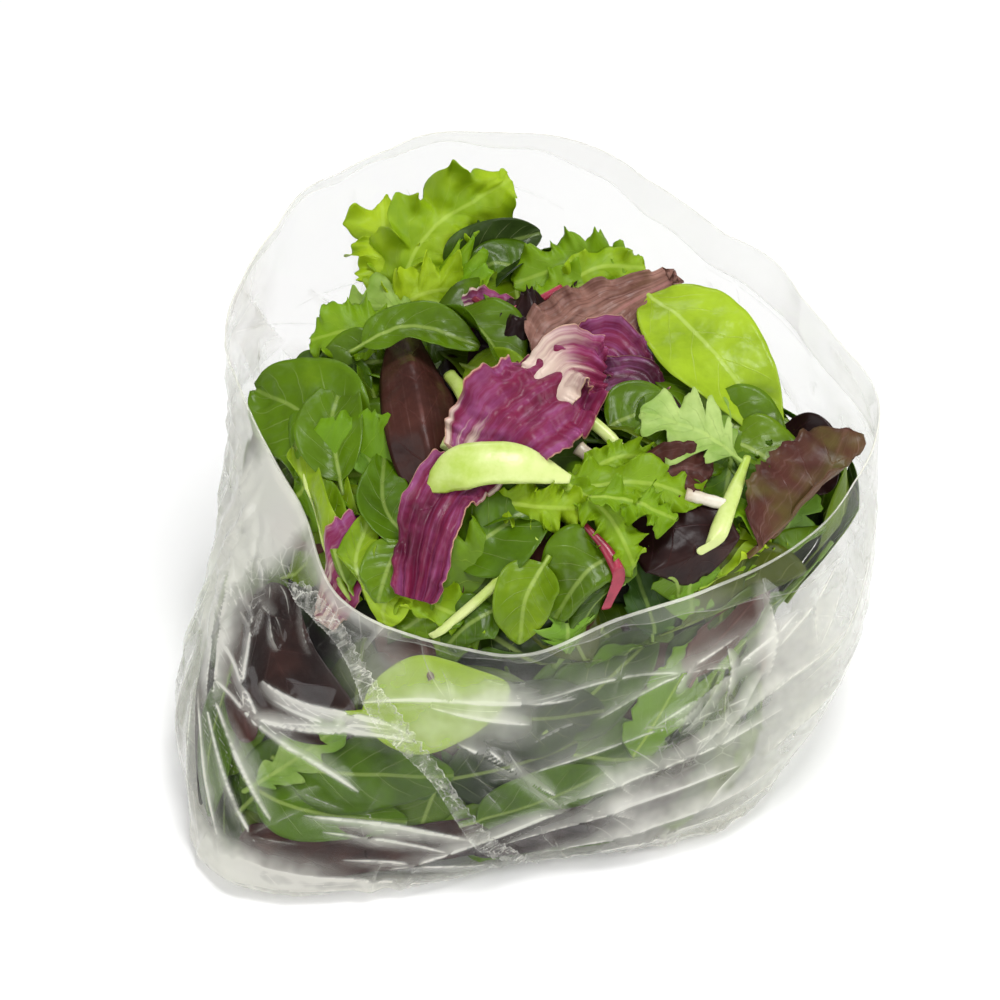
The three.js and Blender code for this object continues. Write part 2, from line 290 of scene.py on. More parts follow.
# ---- Film creases ----

def noise_field(x, y, seed, octaves=3):
    """Smooth noise about 0 from a few sines in random directions."""
    r = np.random.default_rng(seed)
    total = np.zeros_like(x)
    size = 1.0
    for o in range(octaves):
        for _ in range(5):
            a, p = r.uniform(0, 2 * np.pi, 2)
            k = (2.0**o) * r.uniform(0.7, 1.4)
            total = total + size * np.sin(k * (x * np.cos(a) + y * np.sin(a)) + p)
        size *= 0.55
    return total / 5


WALL_ROUND = 720.0  # millimetres that one turn round the bag counts as on the flat film


def at(degrees):
    """Millimetres round the flat film for an azimuth."""
    return degrees / 360 * WALL_ROUND


class Creases:
    """Sharp folds in the flat film, each a line from start to end in millimetres round and up."""

    def __init__(self):
        self.lines = []

    def add(self, start, end, height, width, line=1.0, facet=0.0, bend=0.0):
        """Line is how white the ridge is, a painted highlight; facet is how whitish one flank is, partly
        the film's haze and partly painted reflection, and its sign says which.
        """
        self.lines.append((np.array(start, float), np.array(end, float), height, width, line, facet, bend))

    def scatter(self, r, count, rounds, ups, angles, lengths, heights, widths, line, facet=0.0):
        """Random folds within ranges of degrees round, millimetres up and angles."""
        for _ in range(count):
            start = np.array([at(r.uniform(*rounds)), r.uniform(*ups)])
            a = math.radians(r.uniform(*angles))
            end = start + r.uniform(*lengths) * np.array([math.cos(a), math.sin(a)])
            side = facet * r.choice([-1, 0, 1])
            self.add(start, end, r.uniform(*heights), r.uniform(*widths), line * r.uniform(0.4, 1), side,
                     r.uniform(-2, 2))

    def measure(self, x, y):
        """Displacement, signed distance to the nearest ridge, its whiteness, a painted highlight, and the
        flanks' veil, partly haze and partly painted reflection.
        """
        rise = np.zeros_like(x)
        nearest = np.full_like(x, 4.0)
        second = np.full_like(x, 4.0)
        white = np.zeros_like(x)
        veil = np.zeros_like(x)
        for start, end, height, width, line, facet, bend in self.lines:
            way = end - start
            length = np.hypot(*way)
            way = way / length
            dx = np.mod(x - start[0] + WALL_ROUND / 2, WALL_ROUND) - WALL_ROUND / 2
            dy = y - start[1]
            near = np.abs(dx - way[0] * length / 2) < length / 2 + 2 * width + abs(bend)
            dxn, dyn = dx[near], dy[near]
            along = (dxn * way[0] + dyn * way[1]) / length
            off = -dxn * way[1] + dyn * way[0] - bend * 4 * along * (1 - along)
            fade = np.where((along > 0) & (along < 1), 4 * along * (1 - along), 0) ** 0.5
            tent = np.clip(1 - np.abs(off) / (width * (0.3 + 0.7 * fade)), 0, 1)
            rise[near] += height * fade * tent**1.2
            # a flank's veil: whitish haze and painted reflection beside the fold
            flank = np.where(off * facet > 0, abs(facet) * fade * tent, 0)
            veil[near] = np.maximum(veil[near], flank)
            closer = (np.abs(off) < np.abs(nearest[near])) & (fade > 0.02)
            old_off, old_white = nearest[near], white[near]
            other = np.where(closer, np.abs(old_off), np.where(fade > 0.02, np.abs(off), 4.0))
            second[near] = np.minimum(second[near], other)
            nearest[near] = np.where(closer, off, old_off)
            white[near] = np.where(closer, line * fade * smooth(3.6, 2.8, np.abs(off)), old_white)
        # where two folds are equally near, the distance changes sign, which would draw a false line
        return rise, nearest, white * smooth(0.5, 1.7, second - np.abs(nearest)), veil


# Folds, given as degrees and millimetres up at both ends, then height, width, whiteness,
# facet and bend.
# the whiteness paints a highlight on each ridge; the facet paints whitish haze and reflection on one flank
FAN = (
    # the broad band that runs down the left front, and the folds that leave it
    ((192, 106), (213, 64), 2.0, 12, 1.4, 1.0, 1), ((190, 100), (212, 60), 1.6, 12, 1.0, -1.0, 1),
    ((210, 71), (241, 56), 2.0, 7, 2.4, 0.35, 10), ((204, 80), (223, 75), 1.8, 7, 1.6, -0.5, 4),
    ((210, 67), (231, 41), 2.0, 7, 2.0, 0.4, 6), ((210, 62), (229, 33), 2.0, 7, 1.9, -0.4, 5),
    ((208, 60), (224, 26), 2.0, 6, 1.6, 0.5, 4), ((205, 62), (217, 20), 2.0, 7, 1.3, -0.5, 3),
    ((200, 66), (209, 12), 2.0, 7, 1.2, 0.4, 1), ((196, 64), (201, 8), 1.8, 7, 1.0, -0.4, 0),
    ((192, 66), (192, 8), 1.8, 7, 1.0, 0.4, -1), ((190, 76), (181, 14), 1.8, 7, 0.9, 0.4, 0),
    # the pale facet between the dark window and the green window
    ((218, 87), (247, 79), 1.6, 8, 1.8, -0.9, 6), ((220, 75), (248, 76), 1.6, 8, 2.2, 0.9, 5),
    ((222, 85), (238, 79), 1.0, 3, 1.2, -0.6, 3), ((226, 80), (244, 81), 0.9, 3, 1.0, 0.5, 3),
    ((207, 102), (219, 74), 1.4, 6, 1.7, -0.6, 0),
    # below the green window
    ((234, 47), (260, 33), 1.8, 8, 2.0, -0.9, 2), ((237, 40), (256, 28), 1.4, 6, 1.4, -0.7, 1),
    ((246, 20), (278, 43), 1.8, 8, 1.8, 0.8, 1), ((240, 27), (262, 17), 1.6, 6, 1.2, -0.7, 1),
    ((228, 24), (252, 11), 1.8, 8, 1.4, -0.9, 1), ((222, 16), (262, 6), 2.0, 8, 1.3, 0.9, 1),
    # right of the seam
    ((236, 92), (280, 89), 1.4, 8, 1.7, 0.4, 2), ((250, 90), (270, 82), 1.2, 6, 1.2, 0.4, 0),
    ((262, 73), (275, 50), 1.6, 6, 2.0, 0.35, 0), ((256, 76), (266, 66), 1.2, 5, 1.3, 0.3, 0),
    ((268, 92), (318, 86), 1.2, 8, 0.8, 0.22, 3), ((262, 60), (318, 74), 1.4, 10, 0.8, 0.25, 0),
    ((272, 44), (322, 62), 1.6, 9, 1.0, 0.4, 0), ((264, 28), (316, 46), 1.8, 9, 1.1, 0.5, 2),
    ((270, 18), (322, 34), 1.8, 9, 1.1, 0.5, 0), ((284, 78), (318, 98), 1.3, 7, 1.0, 0.3, 0),
    ((296, 70), (330, 100), 1.3, 7, 1.1, -0.35, 0), ((304, 60), (336, 84), 1.4, 7, 1.2, 0.4, 0),
    ((318, 84), (344, 112), 1.4, 8, 0.9, 0.25, 0), ((326, 70), (350, 100), 1.4, 8, 0.7, -0.25, 0),
)


def film_creases():
    """The folds of the film, by region."""
    c = Creases()
    r = np.random.default_rng(SEED + 9)
    for start, end, height, width, line, facet, bend in FAN:
        c.add((at(start[0]), start[1]), (at(end[0]), end[1]), 0.8 * height, width, line, facet, bend)
    # short gathers at the pinch and along the left edge of the mouth
    c.scatter(r, 16, (188, 202), (78, 104), (-70, 60), (10, 24), (0.4, 1.0), (3, 4), 0.9, 0.4)
    c.scatter(r, 16, (190, 214), (98, 126), (-60, 20), (8, 20), (0.4, 1.0), (3, 5), 0.7, 0.4)
    # long upright folds of the left wall
    for degrees in (150, 157, 163, 168, 173, 178, 183, 188):
        low = at(degrees + r.uniform(0, 10))
        c.add((at(degrees), r.uniform(118, 136)), (low, r.uniform(40, 84)), r.uniform(0.8, 1.8),
              r.uniform(4, 8), 0.8, 0.4 * r.choice([-1, 1]), r.uniform(-4, 4))
    # slanting folds between the seam and the right side
    c.scatter(r, 9, (256, 300), (36, 90), (-60, -25), (18, 44), (0.4, 1.0), (4, 7), 0.5, 0.3)
    c.scatter(r, 14, (296, 330), (26, 84), (20, 75), (16, 44), (0.6, 1.4), (5, 9), 0.6, 0.5)
    # low folds along the front foot
    for degrees, up, length in ((204, 12, 50), (214, 10, 50), (270, 10, 66), (286, 8, 60), (296, 20, 56),
                                (304, 12, 50)):
        c.add((at(degrees), up), (at(degrees) + length, up + r.uniform(-3, 9)), r.uniform(1.2, 2.0), 6.5,
              1.0, 0.6 * r.choice([-1, 1]), r.uniform(-3, 3))
    # soft, long folds of the high back wall
    c.scatter(r, 22, (0, 165), (74, 150), (-35, 35), (36, 90), (0.6, 1.6), (7, 14), 0.5, 0.3)
    c.scatter(r, 14, (0, 165), (60, 130), (60, 120), (30, 80), (0.6, 1.6), (7, 14), 0.5, 0.3)
    c.scatter(r, 10, (340, 400), (70, 120), (-20, 70), (20, 60), (0.6, 1.4), (6, 10), 0.4, 0.2)
    # small folds anywhere, and puckers along the foot
    c.scatter(r, 90, (0, 360), (6, 118), (0, 180), (8, 28), (0.2, 0.7), (2.5, 4.5), 0.35, 0.15)
    c.scatter(r, 90, (0, 360), (0, 8), (55, 125), (8, 24), (0.4, 1.0), (2.5, 4.5), 0.5, 0.35)
    return c


# Whitish patches of the film, partly its own haze and partly painted reflection; the patch from 326 to 372
# degrees is painted light over the floor's shadow. Degrees from, to, share up from, to, strength.
HAZE_AND_REFLECTION_PATCHES = ((158, 190, 0.30, 1.1, 0.40), (184, 204, 0.50, 1.1, 1.05), (208, 232, 0.93, 1.1, 0.5),
                (232, 246, 0.78, 0.96, 0.3), (240, 266, 0.66, 0.94, 0.4), (262, 322, 0.62, 1.1, 0.10),
                (180, 230, -0.1, 0.22, 1.1), (230, 330, -0.1, 0.09, 0.7), (288, 330, 0.16, 0.55, 0.34),
                (196, 208, 0.34, 0.62, 0.2), (326, 372, -0.1, 0.86, 0.34))
# Crumpled patches, the same way.
CRUMPLED_PATCHES = ((190, 210, 0.66, 0.9, 0.5), (206, 228, 0.84, 1.0, 0.7), (300, 322, 0.40, 0.66, 0.4),
                    (190, 330, -0.1, 0.10, 0.5))


def patches(table, share, up):
    """The strongest of the patches at each point, with soft edges."""
    total = np.zeros_like(up)
    a = 2 * np.pi * share
    degrees = np.mod(share, 1) * 360 + 8 * noise_field(3 * np.cos(a), 3 * np.sin(a) + 2 * up, SEED + 14)
    up = up + 0.06 * noise_field(5 * np.cos(a), 5 * np.sin(a) + 3 * up, SEED + 15)
    for first, last, low, high, strength in table:
        middle, half = (first + last) / 2, (last - first) / 2
        off = np.abs(np.mod(degrees - middle + 180, 360) - 180)
        inside = (smooth(half + 9, half - 5, off) * smooth(low - 0.05, low + 0.07, up)
                  * smooth(high + 0.05, high - 0.07, up))
        total = np.maximum(total, strength * inside)
    return total


FILM_ROUND, FILM_UP, BASE_RINGS = 700, 128, 8
FILM_INWARDS = 0.9  # the film never moves further in than this, millimetres
FRONT_SHARE, FRONT_DENSITY = 0.69, 0.38  # where the film's grid is finest, and by how much
HEM_WIDTH = [19, 20, 20, 16, 8, 4, 3, 3, 3, 3, 3, 3, 3, 4, 8, 16]
HEM_DEPTH = 0.7  # how far the hem's second layer lies inside the first
FLUTTER = [2, 3, 4, 3, 2, 3, 4, 3, 2, 1, 0, 0, 1, 1, 1, 2]  # how wavy the mouth's edge is round the bag
FILM_LIFT = 0.25  # the film's base lies this far above the table


def film_form(share, up, creases, inwards=0.0):
    """Displaced points of the film and the numbers that its surface needs."""
    x = share * WALL_ROUND
    rise, ridge, white, veil = creases.measure(x, up * length_at(share))
    a = 2 * np.pi * share
    rise = rise + 1.1 * noise_field(6 * np.cos(a), 6 * np.sin(a) + up * 4, 3) * smooth(0.0, 0.2, up)
    flutter = around(FLUTTER, share) * smooth(0.75, 1.0, up)
    rise = rise + 0.8 * flutter * np.sin(11 * a + 1.2 * np.sin(3 * a))
    rise = np.maximum(rise, -FILM_INWARDS)
    # the whitish veil of the folds' flanks and of the patches: haze and painted reflection
    veil = np.maximum(veil, 0) + patches(HAZE_AND_REFLECTION_PATCHES, share, up)
    looks = {"ridge": ridge, "white": white, "veil": veil, "crumple": patches(CRUMPLED_PATCHES, share, up)}
    return wall_at(share, up, inwards - rise), looks


def film_shares():
    """Shares round the bag, closer together at the front."""
    even = np.arange(FILM_ROUND) / FILM_ROUND
    return even + FRONT_DENSITY * np.sin(2 * np.pi * (FRONT_SHARE - even)) / (2 * np.pi)


def film_sheet(creases):
    """The whole film: base and wall as one sheet."""
    share, up = np.broadcast_arrays(film_shares()[None, :], np.linspace(0, 1, FILM_UP)[:, None])
    wall, looks = film_form(share, up, creases)
    rings = []
    for f in np.linspace(0.05, 0.97, BASE_RINGS):
        ring = wall[0] * [f, f, 1]
        ring[:, 2] = FILM_LIFT + 0.2 * (1 - f)
        rings.append(ring)
    wall[..., 2] = np.maximum(wall[..., 2], FILM_LIFT)
    points = np.concatenate([np.concatenate(rings), wall.reshape(-1, 3)])
    under = {"ridge": 4.0, "white": 0.0, "veil": 0.1, "crumple": 0.3}
    values = {k: np.concatenate([np.full(BASE_RINGS * FILM_ROUND, under[k]),
                                 looks[k].ravel()]) for k in looks}
    return points, grid_faces(BASE_RINGS + FILM_UP, FILM_ROUND, wrap=True), values


def hem_sheet(creases):
    """The second layer of film along the mouth, inside the first."""
    rounds, rows = 480, 12
    share = (np.arange(rounds) / rounds)[None, :]
    band = around(HEM_WIDTH, share) + 0.7 * np.sin(2 * np.pi * 23 * share)
    k = np.linspace(0, 1, rows)[:, None]
    share, up = np.broadcast_arrays(share, 1 - band / length_at(share) * (1 - k))
    points, looks = film_form(share, up, creases, HEM_DEPTH)
    looks["ridge"] = np.broadcast_to(k * band, up.shape)
    # painted highlight: a white line along the hem's inner edge; below, the hem's veil is half the wall's
    # plus a little haze
    looks["white"] = np.broadcast_to(0.5 * smooth(3.5, 2.0, k * band), up.shape)
    looks["veil"] = looks["veil"] * 0.5 + 0.05
    values = {name: value.ravel() for name, value in looks.items()}
    return points.reshape(-1, 3), grid_faces(rows, rounds, wrap=True), values


# The crimped seam's line: degrees round and millimetres up.
SEAM_LINE = ((210, 118), (220, 124), (228, 120), (234, 109), (240, 93), (246, 79), (253, 63), (258, 46),
             (264, 27), (272, 12))
SEAM_WIDTH = 8.5
SEAM_LIFT = 0.9  # how far outside the film the seam lies
TOOTH_SIZE, TOOTH_STEP, CRIMP_STEP = 1.3, 2.3, 1.9


def seam_strip(creases):
    """A narrow crimped strip on the outside of the film, with a saw-toothed edge."""
    steps, rows = 420, 15
    line = spline([(at(d), u, 0) for d, u in SEAM_LINE], 60)
    run = run_along(line)
    even = np.linspace(0, run[-1], steps)
    x, y = np.interp(even, run, line[:, 0]), np.interp(even, run, line[:, 1])
    way = unit(np.stack([np.gradient(x), np.gradient(y)], -1))
    r = np.random.default_rng(SEED + 12)
    q = np.linspace(-0.5, 0.5, rows)[:, None]
    toothed = np.where(q < -0.3, 1, 0)
    teeth = TOOTH_SIZE * np.abs(np.mod(even / TOOTH_STEP, 2) - 1) * toothed * (1 + 0.5 * np.sin(even / 7))
    taper = smooth(0, 14, even) * smooth(run[-1], run[-1] - 22, even)
    across = (q * SEAM_WIDTH + teeth) * taper * (0.85 + 0.2 * np.sin(even / 11))
    px, py = x[None] + across * way[:, 1], y[None] - across * way[:, 0]
    share = px / WALL_ROUND
    up = py / length_at(share)
    points, looks = film_form(share, up, creases, -SEAM_LIFT)
    out = look_up(WALL_OUT, share, up)
    crimp = 0.55 * np.sin(2 * np.pi * even / CRIMP_STEP + 3 * q) + 0.5 * noise_field(px * 1.1, py * 1.1, 4)
    points = points + out * (0.6 + crimp * (0.5 + 0.5 * r.random(points.shape[:2])))[..., None]
    # painted glints: strong crumple with bright cell edges, a patchy whitish veil of haze and painted
    # reflection, and white lines along both long edges
    looks["crumple"] = np.full_like(py, 1.4)
    looks["veil"] = np.clip(0.16 + 0.28 * noise_field(px * 0.9, py * 0.9, 6), 0.02, 0.6)
    looks["ridge"] = np.broadcast_to(np.where(q < 0, q + 0.5, q - 0.5) * SEAM_WIDTH, py.shape)
    looks["white"] = np.full_like(py, 0.55)
    values = {name: value.ravel() for name, value in looks.items()}
    return points.reshape(-1, 3), grid_faces(rows, steps), values


# Millimetres, round the bag.
RIM_RADIUS = [0.22, 0.2, 0.2, 0.2, 0.2, 0.2, 0.25, 0.3, 0.4, 0.5, 0.5, 0.55, 0.6, 0.65, 0.65, 0.45]


def rim_bead(creases):
    """The folded edge of the mouth."""
    rounds, sides = 900, 8
    share = np.arange(rounds) / rounds
    centre, looks = film_form(share[None], np.ones((1, rounds)), creases, 0.3)
    centre = centre[0]
    out = look_up(WALL_OUT, share, np.ones(rounds))
    up = look_up(WALL, share, np.ones(rounds)) - look_up(WALL, share, np.full(rounds, 0.97))
    up = unit(up)
    a = 2 * np.pi * np.arange(sides) / sides
    radius = around(RIM_RADIUS, share)
    ring = np.cos(a)[:, None, None] * out[None] + np.sin(a)[:, None, None] * up[None]
    points = centre[None] + radius[None, :, None] * ring
    points[..., 2] = np.minimum(points[..., 2], WALL[..., 2].max() + 0.4)
    faces = grid_faces(sides + 1, rounds, wrap=True) % (sides * rounds)
    # the bead's strong whitish veil paints the highlight that runs along the mouth's edge
    still = {"ridge": 4.0, "white": 0.0, "veil": 0.6, "crumple": 0.0}
    return points.reshape(-1, 3), faces, {k: np.full(sides * rounds, v) for k, v in still.items()}


# ---- Leaves ----

class Leaves:
    """Gathers leaves of one kind and makes them one mesh."""

    # A leaf's underside is brighter and less yellow than its upper face.
    UNDERSIDE = (0.13, -0.12, 0, 0)

    def __init__(self, name):
        self.name = name
        self.points, self.faces, self.map, self.size, self.tint = [], [], [], [], []
        self.count = 0

    def add(self, middle, flat, colour):
        """One closed leaf about the grid of its middle surface, with a paler underside."""
        x, y, z, thick, s, t = flat
        rows, columns = middle.shape[:2]
        n = unit(np.cross(np.gradient(middle, axis=0), np.gradient(middle, axis=1)))
        upper = middle + n * thick[..., None] / 2
        lower = middle - n * thick[..., None] / 2
        size = rows * columns
        top = grid_faces(rows, columns)
        edge = np.concatenate([np.arange(columns), np.arange(1, rows) * columns + columns - 1,
                               size - 2 - np.arange(columns - 1),
                               (rows - 2 - np.arange(rows - 2)) * columns])
        turn = np.roll(edge, -1)
        rim = np.stack([edge, edge + size, turn + size, turn], -1)
        self.points.append(np.concatenate([upper.reshape(-1, 3), lower.reshape(-1, 3)]))
        self.faces.append(np.concatenate([top, top[:, ::-1] + size, rim]) + self.count)
        uv = np.stack([s, t], -1).reshape(-1, 2)
        mm = np.stack([y, x], -1).reshape(-1, 2)
        self.map.append(np.concatenate([uv, uv]))
        self.size.append(np.concatenate([mm, mm]))
        above = np.tile(np.asarray(colour, float), (size, 1))
        below = above + self.UNDERSIDE
        self.tint.append(np.concatenate([above, below]))
        self.count += 2 * size

    def build(self):
        """The one mesh of them all."""
        return new_mesh(self.name, np.concatenate(self.points), np.concatenate(self.faces),
                        maps={"leaf": np.concatenate(self.map), "rib": np.concatenate(self.size)},
                        tints={"tint": np.concatenate(self.tint)})


def soft_fold(y, radius=2.0):
    """Distance from the rib, rounded at the rib itself."""
    return np.sqrt(y**2 + radius**2) - radius


class Shape:
    """A kind of leaf: its outline and how its surface bends. Lengths are in millimetres."""

    def __init__(self, rows, columns, outline, petiole=0.0, stalk=1.4, sweep=0.0, fold=0.2, wave=1.0,
                 waves=1.5, frill=0.0, frills=6.0, quilt=0.0, veins=6.5, pleat=0.0, pleats=5.0,
                 thickness=0.4, rib=0.8):
        self.rows, self.columns, self.outline = rows, columns, outline
        self.petiole, self.stalk, self.sweep, self.fold = petiole, stalk, sweep, fold
        self.wave, self.waves, self.frill, self.frills = wave, waves, frill, frills
        self.quilt, self.veins, self.pleat, self.pleats = quilt, veins, pleat, pleats
        self.thickness, self.rib = thickness, rib

    def on_grid(self, rows, columns):
        """The same leaf on another grid."""
        other = copy.copy(self)
        other.rows, other.columns = rows, columns
        return other

    def bumps(self, s, t, blade, r):
        """Height of waves, frills, quilting and pleats over the leaf, and the frills' pull along it."""
        p = r.uniform(0, 2 * np.pi, 8)
        side = np.where(t < 0, 0.0, 1.0)
        far = np.abs(t) ** 1.7 * smooth(0, 0.15, blade)
        turn = 2 * np.pi * self.waves * s
        z = self.wave * far * np.sin(turn + p[0] + side * (p[1] - p[0]))
        turn = 2 * np.pi * self.frills * (s + 0.06 * np.sin(7 * s + p[2]))
        edge = np.abs(t) ** 3 * smooth(0, 0.2, blade)
        frill = np.sin(turn + p[3] + side * p[4]) + 0.4 * np.sin(2.3 * turn + p[5] + side)
        z = z + self.frill * edge * frill
        dome = np.sin(np.pi * self.veins * (blade - 0.26 * np.abs(t))) ** 2
        z = z + self.quilt * dome * np.minimum(1, np.abs(t) * 3.5) * (1.05 - np.abs(t)) * (blade > 0)
        across = np.pi * self.pleats * t * (1 + 0.12 * np.sin(4 * s + p[6]))
        z = z + self.pleat * np.sin(across + p[7] + 1.1 * np.sin(3 * s + p[2])) * (0.4 + 0.9 * s**1.5)
        curl = 0.28 * self.frill * edge * np.cos(turn + p[3] + side * p[4])
        return z, curl

    def flat(self, length, width, r, fold=None, ruffle=1.0):
        """The leaf in its own axes: x from stalk to tip, y across, z up; then its maps."""
        s = np.linspace(0, 1, self.rows)[:, None]
        t = np.linspace(-1, 1, self.columns)[None, :]
        t = np.sign(t) * np.abs(t) ** 0.85
        blade = np.clip((s - self.petiole) / (1 - self.petiole), 0, 1)
        seeds = r.uniform(0, 1, 2)
        half = np.where(t < 0, self.outline(blade, seeds[0]), self.outline(blade, seeds[1]))
        half = self.stalk / 2 + (width / 2 - self.stalk / 2) * half * (blade > 0)
        y = t * half
        bumps, curl = self.bumps(s, t, blade, r)
        x = s * length + self.sweep * np.abs(y) * (1 - 0.6 * s) + ruffle * curl
        z = (self.fold if fold is None else fold) * soft_fold(y) + ruffle * bumps
        crumple = noise_field(x / 5, y / 5, int(r.integers(1, 9999)), 3)
        z = z + 1.4 * ruffle * crumple * np.minimum(1, half / 6)
        bulge = np.exp(-((y / 1.1) ** 2)) * (1 - 0.75 * s)
        body = self.thickness * (1 - 0.45 * np.abs(t) ** 3)
        thick = np.where(blade > 0, body + self.rib * bulge,
                         self.stalk * np.sqrt(np.clip(1 - 0.75 * t**2, 0, 1)))
        thick = thick * np.clip((1.02 - s) * 12, 0.35, 1)
        return x, y, z, thick, s + 0 * t, t + 0 * s


def oval(power, fullness):
    """A smooth outline; a lower power puts its widest part nearer the stalk."""
    def outline(blade, phase):
        body = np.sin(np.pi * np.clip(blade, 0, 1) ** power) ** fullness
        return body * (1 + 0.05 * np.sin(9 * blade + 6 * phase)) + 0.02
    return outline


def lobed(lobes, depth, sharpness, power=0.8, fullness=0.55, teeth=0.06):
    """An outline cut into lobes; depth is how far the cuts go towards the rib."""
    def outline(blade, phase):
        body = np.sin(np.pi * np.clip(blade, 0, 1) ** power) ** fullness
        place = lobes * blade + phase + 0.3 * np.sin(5 * blade + 6 * phase)
        wave = np.abs(np.sin(np.pi * place)) ** sharpness
        size = 1 + 0.3 * np.sin(1.7 * np.pi * place + 4 * phase)
        small = np.sin(2 * np.pi * place * 2.7) + 0.6 * np.sin(2 * np.pi * place * 4.9 + 5 * phase)
        return body * (1 - depth + depth * wave * size + teeth * small) + 0.02
    return outline


def fan_shaped(blade, phase):
    """An outline that widens from the stalk to a blunt, ragged end."""
    body = 0.16 + 0.84 * smooth(0.05, 0.72, blade)
    end = np.sqrt(np.clip(1 - (np.clip(blade - 0.82, 0, 1) / 0.19) ** 2, 0, 1))
    return body * end * (1 + 0.05 * np.sin(31 * blade + 9 * phase)) + 0.02


def torn(power, fullness, rough):
    """A blunt, ragged outline."""
    def outline(blade, phase):
        body = np.sin(np.pi * np.clip(0.04 + 0.93 * blade, 0, 1) ** power) ** fullness
        rag = (np.sin(23 * blade + 9 * phase) + 0.6 * np.sin(51 * blade + 4 * phase)
               + 0.4 * np.sin(97 * blade))
        return body * (1 + rough * rag)
    return outline


# The kinds of leaf. Names that end in _fine have finer grids, for the leaves that show.
SHAPES = {
    "spinach": Shape(22, 9, oval(0.72, 0.72), petiole=0.16, stalk=1.8, fold=0.22, wave=1.6, quilt=0.4),
    "spinach_fine": Shape(46, 17, oval(0.74, 0.70), petiole=0.12, stalk=2.2, fold=0.20, wave=1.6,
                          waves=1.4, quilt=0.55),
    "oak": Shape(110, 33, lobed(3.4, 0.72, 0.75, 0.7, 0.42, 0.05), sweep=0.3, stalk=3.2, fold=0.15,
                 wave=3.4, waves=2.3, frill=3.6, frills=4.5, quilt=0.5, rib=1.3),
    "lettuce_fine": Shape(56, 17, lobed(3.2, 0.36, 0.6, 0.75, 0.42, 0.04), sweep=0.25, stalk=2.6,
                          fold=0.2, wave=2.6, waves=2, frill=2.8, frills=4.5, rib=1.2),
    "frisee_fine": Shape(88, 19, lobed(4.4, 0.56, 0.6, 0.8, 0.4, 0.05), sweep=0.35, stalk=2.8, fold=0.2,
                         wave=3.0, waves=2.3, frill=3.0, frills=5.5, rib=1.3),
    "rocket_fine": Shape(54, 11, lobed(3.2, 0.72, 0.9, 0.62, 0.6, 0.03), petiole=0.15, sweep=0.6,
                         stalk=1.8, fold=0.16, wave=1.5, waves=1.6),
    "red_fine": Shape(34, 13, lobed(4, 0.10, 1.0, 0.66, 0.55, 0.03), petiole=0.1, stalk=2.6, fold=0.28,
                      wave=2.4, waves=2, frill=1.2, frills=6, quilt=0.7, veins=5),
    "red_smooth": Shape(48, 19, oval(0.8, 0.6), petiole=0.0, stalk=3.0, fold=0.3, wave=1.6, waves=1.3,
                        quilt=0.15, rib=0.5),
    "red_fan": Shape(64, 27, fan_shaped, stalk=7.0, fold=0.15, wave=2.6, waves=1.2, frill=2.4, frills=6,
                     pleat=0.8, pleats=4.5, rib=0.6),
    "radicchio": Shape(34, 17, torn(0.8, 0.4, 0.05), stalk=5.0, fold=0.25, wave=2.0, waves=1.6, frill=1.6,
                       frills=5, pleat=0.7, pleats=3, thickness=0.7),
    "radicchio_fine": Shape(110, 41, torn(0.85, 0.34, 0.035), stalk=8.0, fold=0.22, wave=2.4, waves=1.4,
                            frill=1.5, frills=5, pleat=0.9, pleats=4.0, thickness=0.7),
}
# The leaves that fill the heap have the same shapes on coarser grids.
for name, rows, columns in (("lettuce", 36, 11), ("frisee", 56, 13), ("rocket", 40, 9), ("red", 26, 11)):
    SHAPES[name] = SHAPES[name + "_fine"].on_grid(rows, columns)


def place_path(flat, path, up=(0, -0.4, 0.9), roll=0.0, twist=0.0):
    """Lays a leaf's rib along a smooth path; up says where its upper face looks."""
    x, y, z, thick, s, t = flat
    line = spline(path, 12)
    run = run_along(line)
    run /= run[-1]
    way = unit(np.gradient(line, axis=0))
    share = x / max(float(x[-1, x.shape[1] // 2]), 1e-6)
    pick = lambda table: np.stack([np.interp(share, run, table[:, k]) for k in range(3)], -1)
    centre, ahead = pick(line), pick(way)
    beyond = np.clip(share - 1, 0, None)[..., None] * float(x[-1, x.shape[1] // 2])
    side = unit(np.cross(np.array(up, float), ahead))
    over = np.cross(ahead, side)
    turn = (roll + twist * (s - 0.4))[..., None]
    across = side * np.cos(turn) + over * np.sin(turn)
    face = over * np.cos(turn) - side * np.sin(turn)
    return centre + ahead * beyond + across * y[..., None] + face * z[..., None]


def place_on_heap(flat, x0, y0, angle, level, tilt=0.0, roll=0.0, arch=3.0):
    """Lays a leaf on the heap's smooth top, level millimetres above it."""
    x, y, z, thick, s, t = flat
    middle = x.max() / 2
    px = x0 + ((x - middle) * np.cos(angle) - y * np.sin(angle))
    py = y0 + ((x - middle) * np.sin(angle) + y * np.cos(angle))
    rise = level + z + 4 * arch * s * (1 - s) + tilt * (x - middle) + roll * y
    return np.stack([px, py, heap_height(px, py) + rise], -1)


def place_on_wall(flat, degrees, up_mm, angle, depth, tilt=0.0, arch=0.0):
    """Presses a leaf against the film, depth millimetres inside it."""
    x, y, z, thick, s, t = flat
    middle = x.max() / 2
    a = (x - middle) * np.cos(angle) - y * np.sin(angle)
    b = (x - middle) * np.sin(angle) + y * np.cos(angle)
    share0 = degrees / 360
    height = up_mm + b
    reach = reach_at(np.array([share0]), np.array([max(up_mm, 5.0)]))[0]
    length = length_at(share0)
    share = share0 + a / (2 * np.pi * reach)
    inner = depth - np.clip(z, -3, 4) * 0.5 + tilt * b + arch * (1 - 4 * s * (1 - s))
    p = wall_at(share, height / length, np.maximum(inner, depth - WALL_LEAF_ROOM))
    over = np.clip(height / length - 1, 0, None)[..., None] * length
    return p + over * [0, 0, 1]


